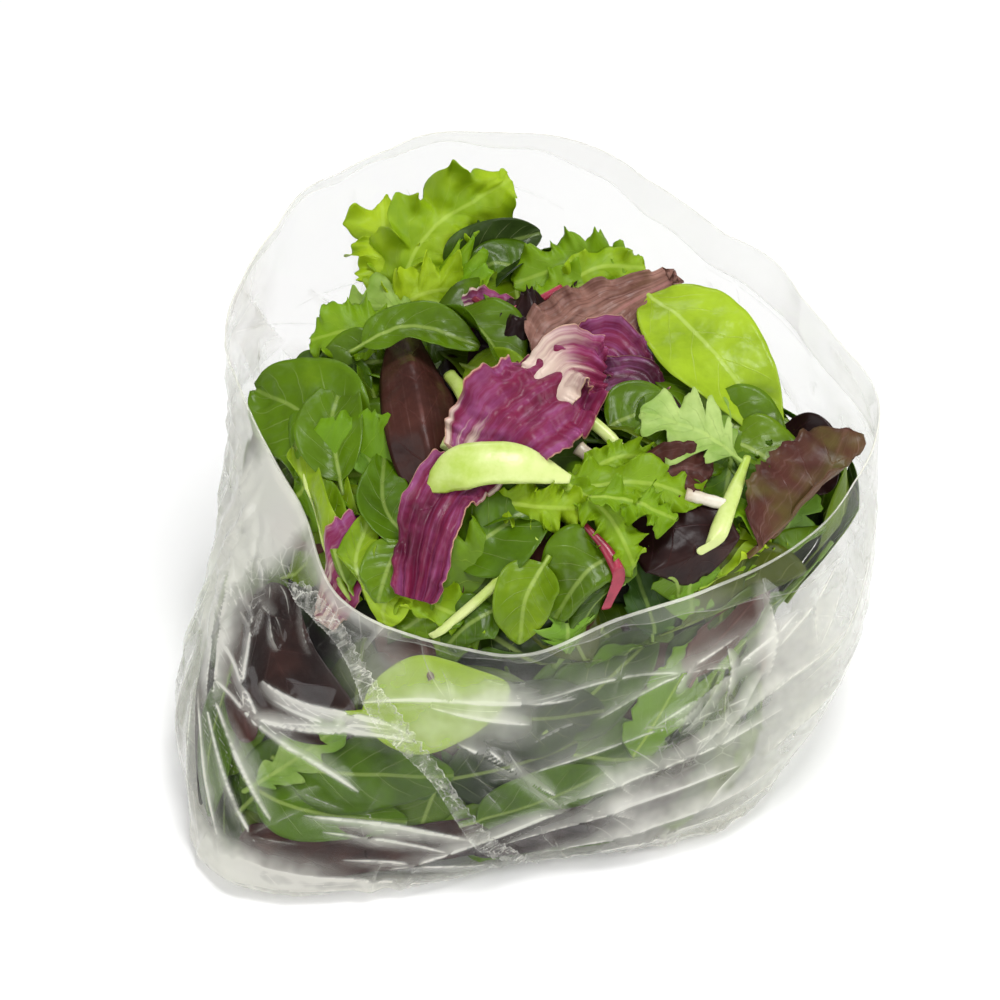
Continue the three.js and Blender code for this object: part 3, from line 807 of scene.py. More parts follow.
SHAPES_OF_KIND = {
    "spinach_leaves": ("spinach_fine",),
    "lower_spinach_leaves": ("spinach",),
    "lettuce_leaves": ("oak", "lettuce", "lettuce_fine", "frisee", "frisee_fine"),
    "rocket_leaves": ("rocket", "rocket_fine"),
    "red_leaves": ("red", "red_fine", "red_smooth", "red_fan"),
    "radicchio_leaves": ("radicchio", "radicchio_fine"),
}
kinds = {name: Leaves(name) for name in SHAPES_OF_KIND}
KIND_OF_SHAPE = {shape: name for name, shapes in SHAPES_OF_KIND.items() for shape in shapes}


def put(shape, length, width, placing, colour, seed, fold=None, ruffle=1.0, gap=None, free=False, **how):
    """Makes one leaf, places it and keeps it inside the film."""
    if gap is None:
        gap = LEAF_CLEARANCE + GAP_SPREAD * (seed * 0.37 % 1)
    flat = SHAPES[shape].flat(length, width, np.random.default_rng(SEED * 1000 + seed), fold, ruffle)
    points = keep_inside(placing(flat, **how), gap, free)
    kinds[KIND_OF_SHAPE[shape]].add(points, flat, colour)


def hero(seed, shape, path, width, bright, yellow=0.5, special=0.0, arch=5.0, fold=None, ruffle=1.0,
         **how):
    """A leaf placed along a given path, in millimetres about the bag's middle."""
    path = [np.array(p, float) for p in path]
    if len(path) == 2:
        path.insert(1, (path[0] + path[1]) / 2 + [0, -0.25 * arch, arch])
    length = sum(np.linalg.norm(b - a) for a, b in zip(path, path[1:]))
    put(shape, length, width, place_path, (bright, yellow, (seed * 0.37) % 1, special), seed, fold, ruffle,
        free=True, path=path, **how)


def baby(seed, *where, **how):
    """A baby spinach leaf placed along a given path."""
    hero(seed, "spinach_fine", *where, **how)


def upper_left_leaves():
    """The standing lettuce, the dark leaves behind it and the small leaves at its foot."""
    hero(1, "oak", [(-55, 64, 128), (-43, 84, 150), (-10, 108, 161)], 40, 0.66, 0.8, up=(-0.1, -1, 0.25),
         ruffle=1.5)
    hero(8, "oak", [(-50, 64, 131), (-57, 82, 146), (-60, 104, 154)], 32, 0.78, 0.8, up=(0, -0.9, 0.5))
    baby(2, [(-38, 78, 136), (-18, 82, 147), (2, 88, 150)], 22, 0.12, 0.2, up=(0.1, -1, 0.8), fold=0.5)
    baby(3, [(-30, 82, 130), (-27, 90, 144), (-30, 98, 153)], 18, 0.16, 0.3, up=(0.2, -1, 0.5))
    hero(4, "oak", [(-58, 54, 134), (-42, 60, 142), (-22, 64, 142)], 30, 0.76, 0.8, up=(0, -0.9, 0.6))
    hero(5, "lettuce_fine", [(-50, 42, 135), (-84, 38, 137)], 27, 0.52, 0.7, roll=0.15)
    hero(6, "rocket_fine", [(-40, 50, 136), (-74, 58, 137)], 24, 0.62, 0.7)
    baby(7, [(-52, 30, 134), (-80, 22, 128)], 26, 0.40, 0.6, roll=-0.3)
    baby(9, [(-68, 22, 144), (-46, 27, 153), (-20, 19, 150)], 19, 0.42, 0.6, roll=-0.2, fold=0.5)


def left_leaves():
    """The broad leaf and the long pale leaves at the left wall, and the dark leaf beside them."""
    baby(10, [(-60, -20, 117), (-84, 4, 129), (-104, 24, 124)], 46, 0.48, 0.6, roll=-0.35, fold=0.3,
         ruffle=1.8)
    baby(11, [(-62, 2, 126), (-76, 20, 130), (-92, 34, 124)], 30, 0.30, 0.5, roll=-0.2)
    baby(12, [(-64, -70, 107), (-79, -44, 120), (-86, -12, 128)], 22, 0.72, 0.7, roll=-0.4, fold=0.4)
    baby(13, [(-58, -70, 108), (-68, -46, 119), (-70, -22, 126)], 16, 0.70, 0.7, roll=-0.3, fold=0.4)
    baby(14, [(-52, -72, 108), (-58, -48, 119), (-58, -26, 125)], 15, 0.50, 0.6, roll=0.2, fold=0.4)
    baby(15, [(-50, -24, 125), (-58, 4, 133), (-64, 30, 134)], 19, 0.34, 0.6, roll=0.5, fold=0.7)
    hero(16, "red_smooth", [(-34, -42, 129), (-42, -4, 149), (-49, 42, 141)], 27, 0.26, 0.2, roll=0.1,
         fold=-0.8)
    hero(17, "red_smooth", [(-28, -20, 121), (-32, 4, 134), (-32, 30, 137)], 22, 0.02, 0.1, roll=-0.4,
         fold=-0.3)
    baby(18, [(-40, 50, 139), (-22, 32, 147), (-4, 6, 141)], 25, 0.34, 0.6, roll=-0.7, fold=0.9)
    baby(19, [(-28, 24, 137), (-12, 10, 143), (0, -6, 142)], 20, 0.68, 0.7, fold=0.3)
    baby(20, [(-34, -66, 122), (-52, -46, 128), (-54, -18, 131)], 20, 0.40, 0.5, roll=0.3)
    hero(21, "lettuce_fine", [(-48, -56, 118), (-54, -36, 124), (-50, -14, 128)], 20, 0.40, 0.6)
    baby(22, [(-68, -34, 124), (-73, -8, 136), (-69, 16, 138)], 24, 0.40, 0.6, roll=-0.2, fold=0.45)
    hero(23, "rocket_fine", [(-44, -44, 124), (-58, -24, 130), (-66, -8, 132)], 16, 0.26, 0.5, roll=0.3)
    baby(24, [(-63, -74, 108), (-72, -50, 121), (-76, -26, 126)], 18, 0.62, 0.6, roll=-0.2, fold=0.3)


def middle_leaves():
    """The crumpled purple leaf, the curly leaf beside the pale rib and the leaves right of them."""
    hero(30, "radicchio_fine", [(-20, -38, 141), (-6, -26, 154), (16, -2, 154)], 42, 0.44, special=0.05,
         roll=0.1, ruffle=1.6)
    hero(31, "radicchio_fine", [(-14, -36, 142), (-31, -52, 142), (-41, -80, 118)], 24, 0.36, special=0.0,
         roll=0.2, ruffle=1.2)
    hero(32, "radicchio_fine", [(2, -14, 151), (12, -2, 160), (25, 2, 151)], 24, 0.60, special=1.0,
         fold=0.5)
    hero(33, "frisee_fine", [(8, -48, 140), (36, -44, 141), (60, -42, 131)], 19, 0.44, 0.8)
    hero(43, "frisee_fine", [(14, -42, 140), (30, -33, 143), (44, -30, 140)], 13, 0.54, 0.8, roll=0.3)
    hero(44, "frisee_fine", [(20, -52, 141), (34, -54, 141), (50, -56, 134)], 15, 0.42, 0.7, roll=-0.3)
    hero(34, "frisee_fine", [(12, -46, 142), (26, -56, 137), (37, -72, 124)], 17, 0.46, 0.8, roll=0.2)
    hero(35, "frisee_fine", [(-14, -50, 137), (6, -54, 138), (20, -52, 136)], 18, 0.62, 0.9, roll=0.5)
    hero(36, "red_smooth", [(36, -46, 130), (54, -57, 127), (72, -72, 111)], 36, 0.08, 0.3, fold=-0.15)
    hero(37, "red_fine", [(38, -40, 135), (52, -34, 139), (64, -30, 133)], 20, 0.34, 0.5, roll=0.3)
    hero(38, "rocket_fine", [(76, -25, 133), (58, -20, 145), (38, -15, 148)], 32, 0.70, 0.3, roll=0.1)
    hero(39, "rocket_fine", [(75, -25, 131), (62, 2, 139), (43, 29, 142)], 16, 0.62, 0.6)
    baby(40, [(66, -6, 133), (56, 10, 141), (43, 25, 142)], 22, 0.34, 0.6, roll=0.2, fold=0.4)
    baby(41, [(24, -14, 138), (40, -6, 140), (54, -8, 134)], 24, 0.38, 0.6)
    baby(42, [(30, -30, 136), (50, -24, 138), (70, -22, 130)], 24, 0.46, 0.6)


def front_leaves():
    """The leaves along the front of the mouth."""
    baby(50, [(-32, -68, 120), (-14, -60, 131), (8, -46, 138)], 32, 0.36, 0.5, fold=0.15)
    baby(51, [(6, -68, 128), (-2, -80, 119), (-4, -88, 104)], 22, 0.58, 0.7, fold=0.6)
    baby(52, [(32, -62, 125), (19, -72, 124), (8, -83, 112)], 32, 0.36, 0.6, fold=0.25)
    baby(53, [(34, -74, 118), (24, -80, 114), (16, -86, 104)], 22, 0.24, 0.5)
    baby(54, [(-24, -70, 114), (-36, -78, 110), (-46, -80, 101)], 26, 0.52, 0.6)
    baby(55, [(-45, -62, 118), (-50, -72, 114), (-54, -82, 104)], 20, 0.86, 0.4, fold=0.3)
    hero(56, "lettuce_fine", [(-58, -60, 112), (-38, -76, 114), (-14, -84, 106)], 20, 0.56, 0.8)
    baby(57, [(-10, -78, 113), (-22, -84, 109), (-30, -86, 100)], 20, 0.30, 0.5)
    baby(59, [(-58, -77, 114), (-62, -65, 122), (-57, -48, 128)], 15, 0.66, 0.6, roll=-0.2, fold=0.3)
    baby(49, [(-45, -58, 128), (-51, -70, 121), (-54, -78, 113)], 19, 0.56, 0.6, fold=0.3)
    baby(58, [(44, -62, 116), (56, -70, 112), (62, -76, 104)], 20, 0.46, 0.6)


def right_leaves():
    """The large bright leaf, the curly leaves and the dark leaves at the right wall."""
    baby(60, [(37, 57, 150), (62, 25, 149), (89, -8, 130)], 38, 0.82, 0.75, up=(0.2, -0.5, 0.8), fold=0.25)
    baby(61, [(56, 2, 137), (76, -8, 134), (92, -20, 124)], 30, 0.40, 0.6, fold=0.2)
    baby(62, [(66, -8, 132), (84, -18, 130), (96, -30, 120)], 28, 0.52, 0.7)
    hero(63, "frisee_fine", [(66, -56, 107), (78, -36, 116), (84, -14, 122)], 24, 0.62, 0.9)
    hero(64, "lettuce_fine", [(60, -62, 105), (75, -50, 107), (88, -34, 106)], 24, 0.52, 0.8)
    hero(65, "red_fine", [(80, -54, 113), (101, -34, 126), (114, -6, 134)], 46, 0.36, 0.9, roll=0.1,
         up=(-0.3, -0.7, 0.7))
    hero(66, "red_smooth", [(90, 4, 122), (101, -6, 125), (106, -22, 116)], 20, 0.04, 0.2, fold=0.3)
    baby(67, [(80, -56, 103), (96, -44, 104), (106, -30, 108)], 24, 0.40, 0.6)


def top_leaves():
    """The curly green leaves at the top and the brown and purple leaves in front of them."""
    hero(70, "frisee_fine", [(42, 68, 146), (18, 68, 151), (-8, 63, 145)], 26, 0.40, 0.7, roll=-0.2)
    hero(71, "lettuce_fine", [(38, 60, 144), (18, 58, 148), (0, 56, 144)], 22, 0.46, 0.7)
    hero(72, "lettuce_fine", [(6, 58, 143), (24, 64, 152), (42, 68, 149)], 16, 0.66, 0.7, roll=0.3)
    hero(73, "red_fan", [(52, 58, 151), (34, 44, 150), (2, 18, 141)], 38, 0.70, 0.4, fold=0.2,
         up=(0, -0.7, 0.7))
    hero(74, "red_fine", [(-16, 40, 143), (2, 38, 147), (16, 50, 146)], 26, 0.05, 0.1)
    hero(75, "red_fine", [(-26, 34, 140), (-10, 26, 143), (8, 22, 140)], 26, 0.02, 0.1, roll=0.2)
    hero(76, "radicchio", [(-30, 48, 142), (-14, 42, 145), (-4, 30, 142)], 20, 0.25, special=0.1)
    hero(77, "radicchio", [(12, 18, 141), (27, 22, 147), (40, 12, 140)], 22, 0.22, special=0.0, fold=0.5)
    hero(78, "radicchio", [(22, 4, 139), (36, 8, 142), (44, -2, 138)], 22, 0.10, special=0.0)
    baby(79, [(0, 70, 142), (-14, 74, 146), (-24, 72, 142)], 22, 0.30, 0.5)


# Ranges of length and of width, then how common each kind is on top and against the film.
SIZES = {"spinach": ((44, 68), (24, 38)), "lettuce": ((44, 64), (26, 36)), "frisee": ((44, 60), (24, 32)),
         "rocket": ((48, 70), (22, 30)), "red": ((44, 64), (24, 34)), "radicchio": ((30, 50), (22, 34))}
MIX = {"spinach": 0.50, "lettuce": 0.10, "frisee": 0.08, "rocket": 0.10, "red": 0.16, "radicchio": 0.06}
WALL_MIX = {"spinach": 0.64, "lettuce": 0.08, "rocket": 0.04, "red": 0.22, "radicchio": 0.02}


def pick_leaf(r, bright=0.36, mix=MIX):
    """A random kind, its size and its colour numbers."""
    shape = r.choice(list(mix), p=list(mix.values()))
    (l0, l1), (w0, w1) = SIZES[shape]
    middle = {"red": 0.2, "radicchio": 0.35}.get(shape, bright)
    colour = (middle + r.uniform(-0.2, 0.24), 0.55 + r.uniform(-0.2, 0.25), r.random(),
              0.3 if shape == "radicchio" else 0)
    return shape, r.uniform(l0, l1), r.uniform(w0, w1), colour


FILL_REACH = 98  # millimetres out to which the top and the base are filled


def top_fillers():
    """Leaves in layers over the whole top, the lower layers first and darker, their darkness painted shade
    of the heap's depth.
    """
    golden = math.pi * (3 - math.sqrt(5))
    r = np.random.default_rng(SEED + 1)
    seed = 100
    # painted shade: the deeper a layer lies, the darker its leaves' colour
    for level, count, bright in ((-10, 26, 0.16), (-6, 32, 0.24), (-2.5, 26, 0.36)):
        for i in range(count):
            reach = FILL_REACH * math.sqrt((i + 0.5) / count)
            a = i * golden + level
            shape, length, width, colour = pick_leaf(r, bright)
            put(shape, length, width, place_on_heap, colour, seed, r.uniform(0.05, 0.6),
                x0=reach * math.cos(a) + 2, y0=reach * math.sin(a) + 4, angle=r.uniform(0, 2 * math.pi),
                level=level + r.uniform(-2, 2), tilt=r.uniform(-0.2, 0.2), roll=r.uniform(-0.4, 0.4),
                arch=r.uniform(1, 7))
            seed += 1


def wall_fillers():
    """Leaves pressed against the film all round, in two layers."""
    r = np.random.default_rng(SEED + 2)
    seed = 300
    for depth, ups, step in ((10.0, (18, 46, 74, 100), 17), (6.6, (14, 38, 62, 86, 108), 15)):
        for row, up in enumerate(ups):
            for k in range(int(360 / step)):
                degrees = k * step + row * step * 0.5 + r.uniform(-5, 5)
                shape, length, width, colour = pick_leaf(r, 0.28, WALL_MIX)
                rim = float(around(MOUTH_HEIGHT, degrees / 360))
                if up > rim - 14 and not (30 < degrees % 360 < 160):
                    continue
                inside = depth + r.uniform(-1.0, 1.6)
                put(shape, length, width, place_on_wall, colour, seed, r.uniform(0.0, 0.3), 0.7,
                    inside - WALL_LEAF_ROOM, degrees=degrees, up_mm=up + r.uniform(-6, 6),
                    angle=r.uniform(0, 2 * math.pi), depth=inside, tilt=r.uniform(-0.03, 0.05),
                    arch=r.uniform(0, 3))
                seed += 1


# Leaves against the film that show at the front: kind, length, width, brightness, degrees round the bag,
# millimetres up, and angle in degrees.
WALL_LEAVES = (
    ("red_smooth", 64, 38, 0.12, 221, 94, -12), ("red_smooth", 50, 26, 0.24, 211, 80, -30),
    ("spinach_fine", 62, 32, 0.30, 241, 62, 4), ("spinach_fine", 60, 26, 0.44, 236, 46, -6),
    ("spinach_fine", 50, 26, 0.24, 228, 60, 70), ("rocket_fine", 48, 20, 0.60, 230, 68, 60),
    ("spinach_fine", 56, 30, 0.34, 214, 52, -64), ("red_smooth", 56, 26, 0.16, 206, 34, -58),
    ("red_smooth", 66, 28, 0.20, 240, 25, -4), ("red_smooth", 60, 24, 0.12, 258, 27, 6),
    ("spinach_fine", 58, 36, 0.95, 250, 90, 20), ("spinach_fine", 54, 32, 0.10, 271, 82, -10),
    ("spinach_fine", 56, 34, 0.22, 286, 88, 30), ("spinach_fine", 54, 32, 0.06, 266, 62, 12),
    ("spinach_fine", 58, 34, 0.30, 286, 58, -24), ("red_smooth", 56, 26, 0.12, 296, 36, 22),
    ("red_smooth", 60, 26, 0.06, 276, 26, 10),
    ("spinach_fine", 56, 30, 0.36, 272, 44, 16), ("lettuce_fine", 54, 32, 0.44, 304, 74, 40),
    ("spinach_fine", 54, 30, 0.30, 196, 70, 80), ("lettuce_fine", 50, 30, 0.66, 188, 60, 96),
    ("spinach_fine", 50, 28, 0.50, 190, 30, 70), ("red_fine", 50, 28, 0.40, 318, 92, 50),
)


def wall_heroes():
    """The leaves that show clearly through the front of the film."""
    for i, (shape, length, width, bright, degrees, up, angle) in enumerate(WALL_LEAVES):
        depth = 2.2 + 0.65 * (i % 5) + 0.04 * i
        put(shape, length, width, place_on_wall, (bright, 0.5, (i * 0.29) % 1, 0.2), 600 + i, 0.05, 0.6,
            depth - WALL_LEAF_ROOM, degrees=degrees, up_mm=up, angle=math.radians(angle), depth=depth)


def base_fillers():
    """Leaves lying flat on the base."""
    r = np.random.default_rng(SEED + 3)
    count = 26
    for i in range(count):
        reach = FILL_REACH * math.sqrt((i + 0.5) / count)
        a = i * 2.4
        shape, length, width, colour = pick_leaf(r)
        flat = SHAPES[shape].flat(length, width, np.random.default_rng(SEED * 2000 + i), 0.0, 0.5)
        x, y, z = flat[:3]
        turn = r.uniform(0, 2 * math.pi)
        px = reach * math.cos(a) - 10 + (x - length / 2) * math.cos(turn) - y * math.sin(turn)
        py = reach * math.sin(a) - 8 + (x - length / 2) * math.sin(turn) + y * math.cos(turn)
        height = np.clip(4 + 0.5 * z + 1.5 * flat[4], 2.4, 12)
        kinds[KIND_OF_SHAPE[shape]].add(keep_inside(np.stack([px, py, height], -1), 4), flat, colour)


# ---- Stalks ----

def stalk(path, radii, sides=14, squash=0.8):
    """A closed stalk along a smooth path, as points and triangles."""
    line = spline(path, 14)
    run = np.linspace(0, 1, len(line))
    radius = np.interp(run, np.linspace(0, 1, len(radii)), radii)
    way = unit(np.gradient(line, axis=0))
    side = unit(np.cross(way, [0, -0.5, 1.0]))
    up = np.cross(side, way)
    a = 2 * np.pi * np.arange(sides) / sides
    ring = np.cos(a)[None, :, None] * side[:, None] + squash * np.sin(a)[None, :, None] * up[:, None]
    flutes = 1 + 0.05 * np.cos(3 * a)[None, :, None] + 0.04 * np.sin(17 * run + 2)[:, None, None]
    body = line[:, None] + radius[:, None, None] * ring * flutes
    first, last = body[0] * 0.6 + line[0] * 0.4, body[-1] * 0.6 + line[-1] * 0.4
    rings = np.concatenate([first[None], body, last[None]])
    points = np.concatenate([rings.reshape(-1, 3), line[:1], line[-1:]])
    quads = grid_faces(len(rings), sides, wrap=True)
    n = len(rings) * sides
    k = np.arange(sides)
    starts = np.stack([np.full(sides, n), (k + 1) % sides, k], -1)
    ends = np.stack([np.full(sides, n + 1), n - sides + k, n - sides + (k + 1) % sides], -1)
    along = np.concatenate([np.repeat(np.linspace(0, 1, len(rings)), sides), [0, 1]])
    return points, np.concatenate([quads[:, [0, 1, 2]], quads[:, [0, 2, 3]], starts, ends]), along


def stalks(name, items):
    """Several stalks as one mesh."""
    points, faces, along, count = [], [], [], 0
    for path, radii, squash in items:
        p, f, a = stalk(path, radii, squash=squash)
        points.append(keep_inside(p, 2.0, free=True))
        faces.append(f + count)
        along.append(a)
        count += len(p)
    return new_mesh(name, np.concatenate(points), np.concatenate(faces),
                    values={"along": np.concatenate(along)})


# Path in millimetres, radii along it, and how flat the section is.
PALE_STALKS = [
    (((-37, -50, 142), (-26, -47, 150), (-8, -46, 152), (13, -49, 147)),
     (1.0, 5.4, 7.4, 8.3, 8.5, 8.0, 6.8, 4.8, 1.6), 0.34),
    (((-31, 15, 140), (-24, -6, 144), (-31, -26, 140)), (2.4, 3.2, 3.2, 2.4), 0.7),
    (((77, -22, 134), (70, -43, 131), (62, -65, 125)), (1.3, 2.2, 3.0, 3.3, 3.0), 0.75),
    (((14, -12, 148), (24, -20, 145), (32, -27, 141)), (2.0, 2.4, 2.0), 0.8),
    (((2, -64, 132), (-14, -76, 120), (-36, -88, 105)), (1.5, 1.9, 1.5), 0.8),
    (((-66, -66, 108), (-78, -42, 120), (-84, -18, 127)), (1.0, 1.2, 0.6), 0.8),
    (((38, -30, 138), (48, -42, 133)), (1.6, 1.2), 0.8),
]
CREAM_STALKS = [
    (((54, -42, 134), (68, -44, 131)), (2.4, 2.2), 0.7),
    (((16, -28, 143), (26, -36, 140)), (2.8, 2.0), 0.7),
    (((-28, 54, 142), (-20, 58, 145)), (2.6, 2.2), 0.8),
    (((-63, 14, 132), (-60, -6, 132), (-58, -24, 127)), (1.1, 1.4, 1.0), 0.8),
]
RED_STALKS = [
    (((18, -58, 134), (27, -68, 129), (32, -78, 121), (30, -86, 110)), (1.0, 2.0, 3.0, 2.6), 0.7),
    (((-24, 52, 147), (-12, 43, 147), (-1, 46, 149), (10, 55, 150)), (1.2, 2.0, 1.8, 1.0), 0.8),
]


# ---- The core ----

def core_points():
    """A lumpy mass under the leaves, so that no gap shows light."""
    rounds, ups, rings, under_rings = 180, 30, 16, 6
    s = (np.arange(rounds) / rounds)[None, :]
    u = np.linspace(0.0, 1.0, ups)[:, None]
    share, up = np.broadcast_arrays(s, u)
    a = 2 * np.pi * share
    lumps = noise_field(9 * np.cos(a), 9 * np.sin(a) + 6 * up, 8)
    z = 8 + (heap_height(300 * np.cos(a), 300 * np.sin(a)) - 26) * up
    reach = reach_at(share, z) - leaf_gap(share, z) - 13 - 2.0 * lumps
    side = np.stack([reach * np.cos(a), reach * np.sin(a), z], -1)
    under = [side[0] * [f, f, 1] for f in np.linspace(0.06, 0.9, under_rings)]
    edge = side[-1]
    top = []
    for f in np.linspace(0.96, 0.05, rings):
        ring = edge * [f, f, 1]
        bumps = noise_field(ring[:, 0] / 7, ring[:, 1] / 7, 5)
        ring[:, 2] = heap_height(ring[:, 0], ring[:, 1]) - 15 + 2.2 * bumps
        top.append(ring)
    points = np.concatenate([np.concatenate(under), side.reshape(-1, 3), np.concatenate(top)])
    rows = under_rings + ups + rings
    faces = grid_faces(rows, rounds, wrap=True)
    middle = len(points)
    points = np.concatenate([points, [[0, 0, points[0, 2]], [0, 0, points[-1, 2]]]])
    k = np.arange(rounds)
    n = (k + 1) % rounds
    last = (rows - 1) * rounds
    fan = np.concatenate([np.stack([np.full(rounds, middle), n, k], -1),
                          np.stack([np.full(rounds, middle + 1), last + k, last + n], -1)])
    tris = np.concatenate([faces[:, [0, 1, 2]], faces[:, [0, 2, 3]], fan])
    return points, tris


# ---- Materials ----

class Nodes:
    """A short way to build a material's nodes."""

    def __init__(self, name):
        self.mat = bpy.data.materials.new(name)
        self.mat.use_nodes = True
        self.tree = self.mat.node_tree
        self.tree.nodes.clear()
        self.out = self.tree.nodes.new("ShaderNodeOutputMaterial")

    def node(self, kind, inputs=None, **settings):
        n = self.tree.nodes.new(kind)
        for key, value in settings.items():
            setattr(n, key, value)
        for key, value in (inputs or {}).items():
            if hasattr(value, "is_linked"):
                self.tree.links.new(value, n.inputs[key])
            else:
                n.inputs[key].default_value = value
        return n

    # One node each; the names say what it does.
    def math(self, operation, a, b=0.0, clamp=False):
        return self.node("ShaderNodeMath", {0: a, 1: b}, operation=operation, use_clamp=clamp).outputs[0]

    def add(self, a, b, clamp=False):
        return self.math("ADD", a, b, clamp)

    def sub(self, a, b):
        return self.math("SUBTRACT", a, b)

    def mul(self, a, b):
        return self.math("MULTIPLY", a, b)

    def rest(self, a):
        return self.math("SUBTRACT", 1.0, a)

    def mix(self, factor, a, b):
        return self.node("ShaderNodeMix", {0: factor, 6: a, 7: b}, data_type="RGBA").outputs[2]

    def blend(self, factor, a, b):
        return self.node("ShaderNodeMixShader", {0: factor, 1: a, 2: b}).outputs[0]

    def noise(self, scale, detail=3.0, rough=0.55, vector=None):
        inputs = {"Scale": scale, "Detail": detail, "Roughness": rough}
        if vector is not None:
            inputs["Vector"] = vector
        return self.node("ShaderNodeTexNoise", inputs).outputs["Fac"]

    def cells(self, scale, vector):
        """Distance to the nearest edge of a pattern of cells."""
        return self.node("ShaderNodeTexVoronoi", {"Scale": scale, "Vector": vector},
                         feature="DISTANCE_TO_EDGE").outputs[0]

    def band(self, value, low, high):
        """0 at low, 1 at high, smooth between."""
        return self.node("ShaderNodeMapRange", {0: value, 1: low, 2: high, 3: 0.0, 4: 1.0},
                         interpolation_type="SMOOTHSTEP").outputs[0]

    def value(self, name):
        return self.node("ShaderNodeAttribute", attribute_name=name,
                         attribute_type="GEOMETRY").outputs["Fac"]

    def uv(self, name):
        return self.node("ShaderNodeUVMap", uv_map=name).outputs[0]

    def object_coords(self):
        return self.node("ShaderNodeTexCoord").outputs["Object"]

    def bump(self, height, strength, distance):
        return self.node("ShaderNodeBump",
                         {"Strength": strength, "Distance": distance, "Height": height}).outputs[0]

    def living(self, glow, colour, rough, normal, gloss=0.5):
        """Finishes with a skin that lets a little light through, as leaves and stalks do."""
        skin = self.node("ShaderNodeBsdfPrincipled",
                         {"Base Color": colour, "Roughness": rough, "Normal": normal,
                          "Specular IOR Level": gloss})
        through = self.node("ShaderNodeBsdfTranslucent", {"Color": colour, "Normal": normal})
        return self.finish(self.blend(glow, skin.outputs[0], through.outputs[0]))

    def finish(self, shader):
        self.tree.links.new(shader, self.out.inputs["Surface"])
        return self.mat


def rgb(red, green, blue):
    """An sRGB colour from 0 to 255 as linear numbers with alpha."""
    def linear(c):
        return c / 12.92 if c <= 0.04045 else ((c + 0.055) / 1.055) ** 2.4
    return (*(linear(c / 255) for c in (red, green, blue)), 1.0)


class LeafLook(Nodes):
    """A leaf's surface. Its tint's numbers are brightness, yellowness, one by chance and paleness."""

    def __init__(self, name, veins, mottle=0.2):
        super().__init__(name)
        self.coords = self.object_coords()
        leaf = self.node("ShaderNodeSeparateXYZ", {0: self.uv("leaf")})
        size = self.node("ShaderNodeSeparateXYZ", {0: self.uv("rib")})
        tint = self.node("ShaderNodeAttribute", attribute_name="tint", attribute_type="GEOMETRY")
        parts = self.node("ShaderNodeSeparateColor", {0: tint.outputs["Color"]})
        self.yellow, self.pale = parts.outputs[1], tint.outputs["Alpha"]
        self.along, self.across = leaf.outputs[0], self.math("ABSOLUTE", leaf.outputs[1])
        self.off_rib = self.math("ABSOLUTE", size.outputs[0])
        self.cloud = self.noise(48.0, 4.0, 0.6, self.coords)
        spread = self.mul(self.sub(self.cloud, 0.5), 2.2 * mottle)
        self.share = self.add(parts.outputs[0], spread)
        bend = self.mul(self.noise(40.0, 2.0, 0.5, self.coords), 0.7)
        place = self.sub(self.along, self.mul(self.across, 0.26))
        phase = self.add(self.mul(place, veins), bend)
        self.wave = self.math("ABSOLUTE", self.math("SINE", self.mul(phase, math.pi)))
        vein = self.rest(self.band(self.wave, 0.0, 0.13))
        self.vein = self.mul(vein, self.rest(self.band(self.across, 0.5, 0.95)))
        rib = self.rest(self.band(self.off_rib, 0.3, 1.1))
        self.rib = self.mul(rib, self.rest(self.mul(self.along, 0.6)))

    def streaks(self, stretch, detail=3.0, rough=0.6, shift=(0.0, 0.0, 0.0)):
        """Noise drawn out along the leaf."""
        place = self.node("ShaderNodeMapping",
                          {0: self.uv("leaf"), 1: shift, 3: (*stretch, 1.0)}).outputs[0]
        return self.noise(1.0, detail, rough, place)

    def ramp(self, dark, middle, bright):
        """From dark to bright as the leaf's brightness says."""
        low = self.mix(self.band(self.share, 0.0, 0.5), dark, middle)
        return self.mix(self.band(self.share, 0.5, 1.0), low, bright)

    def surface(self, colour, rough, pucker, glow=0.16, gloss=0.2):
        """Fine relief, a soft gloss and a little light through the leaf."""
        height = self.mul(self.noise(150.0, 2.0, 0.5, self.coords), 0.7)
        height = self.sub(height, self.mul(self.vein, 0.12))
        height = self.sub(height, self.mul(self.rib, 0.1))
        normal = self.bump(height, pucker, 0.0007)
        rough = self.add(rough, self.mul(self.cloud, 0.16))
        return self.living(glow, colour, rough, normal, gloss)


def green_look(name, dark, middle, bright, vein, rib, veins=6.5, rough=0.24, pucker=1.25, vein_mix=0.24,
               rib_mix=0.6):
    """A green leaf: yellower where its tint says so, with fine pale veins and a pale rib."""
    m = LeafLook(name, veins, mottle=0.28)
    colour = m.ramp(dark, middle, bright)
    warm = m.mix(0.45, colour, rgb(176, 190, 20))
    colour = m.mix(m.mul(m.band(m.yellow, 0.45, 1.0), 0.5), colour, warm)
    grey = m.mix(0.35, colour, rgb(140, 170, 90))
    colour = m.mix(m.mul(m.band(m.yellow, 0.4, 0.0), 0.6), colour, grey)
    pale = m.mix(0.5, colour, vein)
    colour = m.mix(m.mul(m.vein, vein_mix), colour, pale)
    rib = m.mix(m.band(m.share, -0.1, 0.8), m.mix(0.5, middle, rib), rib)
    colour = m.mix(m.mul(m.rib, rib_mix), colour, rib)
    return m.surface(colour, rough, pucker, gloss=0.27)


